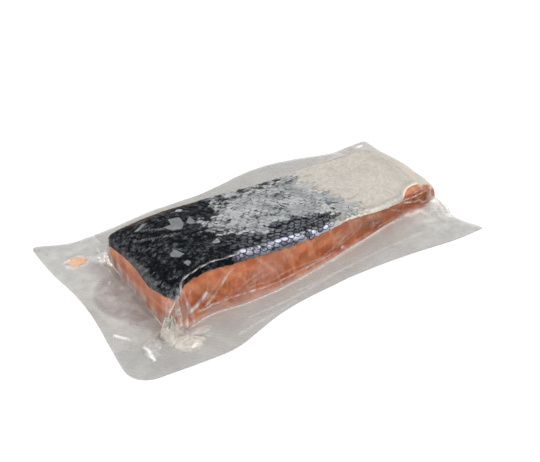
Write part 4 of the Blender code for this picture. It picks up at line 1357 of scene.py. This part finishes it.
def rim_painted_shade_and_white(x, y, rim, haze_and_painted_light, on_clot, on_pool):
    """Paints shade on the rim in places towards the left, and whitens it towards the belly end."""
    # Painted shade over the rim, strongest towards the left and the front.
    painted_shade = 0.36 + 0.42 * rumple(x, y, 0.018, 88.0) + 0.12 * rumple(x * 2.0, y, 0.004, 89.0, 2)
    painted_shade = np.clip(painted_shade, 0.0, 0.8)
    most = 0.35 + 0.65 * (1 - smooth(x, -0.010, 0.020)) + 0.30 * (y < 0.0)
    painted_shade = painted_shade * rim * most * (1 - smooth(x, 0.120, 0.180))
    painted_shade = 0.75 * painted_shade * (1 - on_clot) * (1 - 0.6 * on_pool)
    haze_and_painted_light = np.where((haze_and_painted_light > -0.01) & (haze_and_painted_light < 0.03), -painted_shade, haze_and_painted_light)
    whiter = 0.26 * smooth(x, 0.150, 0.190) * rim * (0.6 + 0.8 * rumple(x, y, 0.01, 90.0))
    return np.where(haze_and_painted_light > 0, haze_and_painted_light, haze_and_painted_light + whiter)


def juice_stain(x, y, away, points, patchy_strength, rim_thickness):
    """Tinge of juice beside the fish and along folds of the rim."""
    stain = np.exp(-away / 0.0060) * (0.80 + 0.5 * rumple(x, y, 0.009, 78.0)) * (y < back_foot(x))
    stain = stain * (1 - smooth(x, 0.170, 0.190))
    for line, half in JUICE_LINES:
        along, across = (np.array(column) for column in zip(*line))
        line = on_film(along, across, rim_thickness)[0]
        stain = np.maximum(stain, crease_relief(points, line, half, 0.0, 1.0)[1] * patchy_strength)
    return stain


def build_film(sizes, colours):
    """The bag: an upper film drawn over everything and a lower one, closed along the rim."""
    x, y = film_plan(sizes)
    floor, away = rim_floor(x, y)
    rim = smooth(1 - body_share(x, y), 0.88, 0.998)
    points, lumps, folds = on_film(x, y, sizes.rim_thickness)
    share = points[..., 2] / crown(x, y)
    on_clot = smooth(lumps, 0.0003, 0.0014)
    on_pool = smooth(1.1 - reach(x, y, *POOL), 0.0, 0.3)
    on_scrap = smooth(1 - reach(x, y, *SCRAP_BUMP), 0.0, 0.4)
    broader = 1.15 + 0.45 * rumple(x, y, 0.0045, 86.0, 2)
    patchy_strength = np.clip(0.85 + 0.75 * rumple(x, y, 0.0032, 87.0, 2), 0.25, 1.15)

    ripple = rumple(x * 0.45, y, 0.0075, 71.0) * 0.00030 + rumple(x * 0.7, y, 0.0030, 72.0, 2) * 0.00012
    lift = ripple * (0.25 + 0.75 * rim)
    haze_and_painted_light = resting_haze(x, y, share, rim, on_clot, folds)
    lift, haze_and_painted_light = add_creases(points, lift, haze_and_painted_light, broader, patchy_strength, sizes.rim_thickness)
    haze_and_painted_light = add_milky_places(x, y, share, haze_and_painted_light)
    haze_and_painted_light = rim_painted_shade_and_white(x, y, rim, haze_and_painted_light, on_clot, on_pool)
    stain = juice_stain(x, y, away, points, patchy_strength, sizes.rim_thickness)
    rim = rim * (1 - 0.65 * on_clot) * (1 - 0.85 * on_scrap) * (1 - 0.35 * on_pool)

    top = points + surface_normals(points) * lift[..., None]
    top = top + np.array((*PORTION_CORNER, 0.0))
    low = in_frame(x, y, floor)
    low[..., 2] = np.minimum(low[..., 2], top[..., 2] - LEAST_THICKNESS)
    mesh = closed_sheet("vacuum_film", top, low)
    none = np.zeros_like(haze_and_painted_light)
    for name, above, below in (("haze_and_painted_light", haze_and_painted_light, none), ("rim", rim, rim), ("stain", stain, none)):
        store(mesh, name, np.stack([above, below]))
    piece = show("vacuum_film", mesh, film_material(colours, sizes), 60)


def facing(direction, axis):
    """The turn that points a light's or camera's axis in a direction."""
    return Vector(direction).to_track_quat(axis, "Y").to_euler()


def add_light(name, kind, energy, source, place=(0.0, 0.0, 0.0), **settings):
    """A light that shines from the direction of its source."""
    light = bpy.data.lights.new(name, kind)
    light.energy = energy
    for key, value in settings.items():
        setattr(light, key, value)
    lamp = bpy.data.objects.new(name, light)
    lamp.location = place
    lamp.rotation_euler = facing(source, "Z")
    bpy.context.scene.collection.objects.link(lamp)


def light_world():
    """Soft light from all round, seen by the camera as plain white."""
    world = bpy.data.worlds.new("studio")
    world.use_nodes = True
    tree = world.node_tree
    glow = tree.nodes["Background"]
    feed(tree, glow, {"Color": (0.94, 0.97, 1.0, 1.0), "Strength": 0.72})
    wall = join(tree, "ShaderNodeBackground", {"Color": (1.0, 1.0, 1.0, 1.0)})
    seen = join(tree, "ShaderNodeLightPath").outputs["Is Camera Ray"]
    either = join(tree, "ShaderNodeMixShader", {0: seen, 1: glow.outputs[0], 2: wall.outputs[0]})
    feed(tree, tree.nodes["World Output"], {"Surface": either.outputs[0]})
    bpy.context.scene.world = world


def build_stage():
    """Pale floor, soft studio light and the camera."""
    bpy.ops.mesh.primitive_plane_add(size=24.0, location=(0.0, 0.0, 0.0))
    floor = bpy.context.object
    floor.name = "studio_floor"
    material, tree, shader, _ = start_material("studio_floor", (0.9, 0.9, 0.9))
    feed(tree, shader, {"Base Color": (0.88, 0.88, 0.88, 1.0), "Roughness": 0.9, "Specular IOR Level": 0.1})
    floor.data.materials.append(material)

    light_world()
    add_light("soft_key", "SUN", 1.7, (0.10, -0.30, 1.0), angle=math.radians(45))
    add_light("edge_light", "AREA", 2.5, (0.45, -0.20, 0.87), (0.40, -0.20, 0.80),
              shape="RECTANGLE", size=0.20, size_y=0.10)
    add_light("side_fill", "AREA", 2.2, (-0.75, 0.02, 0.13), (-0.75, 0.02, 0.14), size=0.24)

    optics = bpy.data.cameras.new("camera")
    optics.sensor_width = 36.0
    optics.lens = CAMERA_LENS
    optics.clip_start = 0.01
    optics.clip_end = 60.0
    camera = bpy.data.objects.new("camera", optics)
    camera.location = CAMERA_PLACE
    camera.rotation_euler = facing(Vector(CAMERA_TARGET) - Vector(CAMERA_PLACE), "-Z")
    scene = bpy.context.scene
    scene.collection.objects.link(camera)
    scene.camera = camera
    scene.view_settings.view_transform = "Standard"


# The add-on

def length_property(name, words, value):
    """A length, with its name and a note."""
    return FloatProperty(name=name, description=words, default=value, unit="LENGTH")


def share_property(name, words, value):
    """A share from 0 to 1, with its name and a note."""
    return FloatProperty(name=name, description=words, default=value, subtype="FACTOR", min=0.0, max=1.0)


class SalmonPackSizes(bpy.types.PropertyGroup):
    """Sizes of the fish's coat and of the bag's film"""

    mesh_step: length_property("Mesh step", "Spacing of the fine meshes", 0.0009)
    film_gap: length_property("Film gap", "Room for skin and scales under the film", 0.0009)
    rim_thickness: length_property("Rim thickness", "The two films of the rim and what is between", 0.0005)
    skin_thickness: length_property("Skin thickness", "Thickness of the salmon skin", 0.0011)
    scale_width: length_property("Scale width", "Across the fish", 0.0054)
    scale_length: length_property("Scale length", "Along the fish", 0.0042)
    scale_thickness: length_property("Scale thickness", "Thickness of one scale at its middle", 0.00024)
    scale_pitch_across: length_property("Pitch across", "Spacing of the scales across the fish", 0.0046)
    scale_pitch_along: length_property("Pitch along", "Spacing of the rows along the fish", 0.0028)
    scale_lift: FloatProperty(name="Scale lift", description="How far a scale tips up at its free edge",
                              default=0.05, unit="ROTATION")
    seed: IntProperty(name="Seed", description="Draw of the scales' tones and tilts", default=4)
    rim_cover: share_property("Rim cover", "How much a layer of the rim hides what is below", 0.50)
    fish_cover: share_property("Fish cover", "How much the film veils the fish", 0.004)
    juice_cover: share_property("Juice cover", "Strength of the juice in the rim", 0.80)


def colour_property(name, words, value):
    """A colour of the fish or the film, with its name and a note."""
    return FloatVectorProperty(name=name, description=words, default=value, subtype="COLOR", min=0.0, max=1.0)


class SalmonPackColours(bpy.types.PropertyGroup):
    """Colours of the fish and the film"""

    flesh: colour_property("Flesh", "Muscle", (0.35, 0.082, 0.023))
    flesh_pale: colour_property("Pale flesh", "Lighter muscle", (0.49, 0.152, 0.062))
    flesh_bruise: colour_property("Brown flesh", "Duller places", (0.23, 0.075, 0.030))
    flesh_deep: colour_property("Deep flesh", "Redder muscle", (0.29, 0.062, 0.019))
    fat_line: colour_property("Fat lines", "Between the muscle blocks", (0.62, 0.31, 0.18))
    membrane: colour_property("Membrane", "Belly end and back strip", (0.46, 0.395, 0.32))
    skin_black: colour_property("Black skin", "The back", (0.004, 0.0044, 0.0055))
    skin_dark: colour_property("Dark skin", "Between the black flecks of the back", (0.022, 0.024, 0.028))
    skin_grey: colour_property("Grey skin", "Paler places of the back", (0.092, 0.097, 0.108))
    skin_slate: colour_property("Slate skin", "Darker silver", (0.115, 0.120, 0.130))
    skin_silver: colour_property("Silver skin", "The flank", (0.37, 0.375, 0.368))
    skin_silver_deep: colour_property("Deep silver", "Greyer places of the flank", (0.23, 0.235, 0.235))
    belly: colour_property("Belly", "Cream belly skin", (0.480, 0.436, 0.380))
    belly_grey: colour_property("Grey belly", "Greyer belly skin", (0.40, 0.370, 0.330))
    # Belly shade also colours the painted shade behind the lip and near the skin's end.
    belly_shade: colour_property("Belly shade", "Weave of the belly skin", (0.30, 0.275, 0.240))
    # Painted highlight: the glint on the front row of scales.
    painted_glint: colour_property("Glint", "Bright scales on the front edge", (0.62, 0.62, 0.74))
    skin_lip: colour_property("Skin lip", "Pale cut edge of the belly skin", (0.60, 0.55, 0.48))
    tan: colour_property("Tan edge", "Brownish flesh along the back edge", (0.22, 0.14, 0.10))
    dry_patch: colour_property("Dry patch", "Where the film has let go", (0.150, 0.155, 0.158))
    juice: colour_property("Juice", "Liquid in the rim", (0.24, 0.140, 0.125))
    juice_pale: colour_property("Pale juice", "Thinner liquid", (0.31, 0.205, 0.185))
    scrap: colour_property("Scrap", "Loose bit of flesh", (0.80, 0.30, 0.05))
    scrap_pale: colour_property("Pale scrap", "Its lighter parts", (0.84, 0.46, 0.15))
    curd: colour_property("White fat", "Clots in the rim", (0.74, 0.69, 0.60))
    curd_shade: colour_property("Fat shade", "Its darker parts", (0.56, 0.48, 0.38))
    # Partly painted shade and reflection: this grey stands for the darker surroundings reflected in the film
    # and the shade on it, besides the film's own haze.
    film: colour_property("Film", "Clear film seen as a layer", (0.41, 0.395, 0.37))
    film_milky: colour_property("Milky film", "Whitened places of the rim", (0.64, 0.61, 0.57))
    film_stain: colour_property("Stained film", "Rim tinged by juice beside the fish", (0.40, 0.285, 0.24))
    # Painted shade: dark fold lines and darker places of the rim.
    film_shade: colour_property("Film shade", "Dark side of a fold", (0.22, 0.205, 0.19))
    # Also the colour of the painted highlights on the film.
    film_white: colour_property("Film creases", "Film whitened by a crease", (0.84, 0.81, 0.78))


class BuildFlesh(bpy.types.Operator):
    """Make the salmon flesh"""

    bl_idname = "salmon_pack.flesh"
    bl_label = "Flesh"

    def execute(self, context):
        build_flesh(context.scene.salmon_sizes, context.scene.salmon_colours)
        return {"FINISHED"}


class BuildSkin(bpy.types.Operator):
    """Make the skin over the flesh"""

    bl_idname = "salmon_pack.skin"
    bl_label = "Skin"

    def execute(self, context):
        build_skin(context.scene.salmon_sizes, context.scene.salmon_colours)
        return {"FINISHED"}


class BuildScales(bpy.types.Operator):
    """Cover the skin with overlapping scales"""

    bl_idname = "salmon_pack.scales"
    bl_label = "Scales"

    def execute(self, context):
        build_scales(context.scene.salmon_sizes, context.scene.salmon_colours)
        return {"FINISHED"}


class BuildDryPatches(bpy.types.Operator):
    """Add the flat grey patches on the skin"""

    bl_idname = "salmon_pack.dry_patches"
    bl_label = "Dry patches"

    def execute(self, context):
        build_dry_patches(context.scene.salmon_sizes, context.scene.salmon_colours)
        return {"FINISHED"}


class BuildRimContents(bpy.types.Operator):
    """Add the juice, the scrap of flesh and the curds of fat"""

    bl_idname = "salmon_pack.rim_contents"
    bl_label = "Rim contents"

    def execute(self, context):
        build_rim_contents(context.scene.salmon_sizes, context.scene.salmon_colours)
        return {"FINISHED"}


class BuildFilm(bpy.types.Operator):
    """Draw the film over the fish"""

    bl_idname = "salmon_pack.film"
    bl_label = "Film"

    def execute(self, context):
        build_film(context.scene.salmon_sizes, context.scene.salmon_colours)
        return {"FINISHED"}


class BuildStage(bpy.types.Operator):
    """Set up the floor, the lights and the camera"""

    bl_idname = "salmon_pack.stage"
    bl_label = "Stage"

    def execute(self, context):
        build_stage()
        return {"FINISHED"}


OPERATORS = (BuildFlesh, BuildSkin, BuildScales, BuildDryPatches, BuildRimContents, BuildFilm, BuildStage)


class SalmonPackPanel(bpy.types.Panel):
    """Lists the steps and their sizes in the sidebar"""

    bl_idname = "VIEW3D_PT_salmon_pack"
    bl_label = "Salmon pack"
    bl_space_type = "VIEW_3D"
    bl_region_type = "UI"
    bl_category = "Salmon pack"

    def draw(self, context):
        layout = self.layout
        for step in OPERATORS:
            layout.operator(step.bl_idname)
        for group in (context.scene.salmon_sizes, context.scene.salmon_colours):
            box = layout.box()
            for name in group.bl_rna.properties.keys():
                if name not in ("rna_type", "name"):
                    box.prop(group, name)


CLASSES = (SalmonPackSizes, SalmonPackColours, *OPERATORS, SalmonPackPanel)


def register():
    """Adds the classes and the settings of the scene."""
    for item in CLASSES:
        bpy.utils.register_class(item)
    bpy.types.Scene.salmon_sizes = PointerProperty(type=SalmonPackSizes)
    bpy.types.Scene.salmon_colours = PointerProperty(type=SalmonPackColours)


def unregister():
    """Takes the settings and the classes away again."""
    del bpy.types.Scene.salmon_colours
    del bpy.types.Scene.salmon_sizes
    for item in reversed(CLASSES):
        bpy.utils.unregister_class(item)


def main():
    """Builds every piece."""
    register()
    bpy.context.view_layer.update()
    bpy.ops.salmon_pack.flesh()
    bpy.ops.salmon_pack.skin()
    bpy.ops.salmon_pack.scales()
    bpy.ops.salmon_pack.dry_patches()
    bpy.ops.salmon_pack.rim_contents()
    bpy.ops.salmon_pack.film()
    bpy.ops.salmon_pack.stage()


if __name__ == "__main__":
    main()
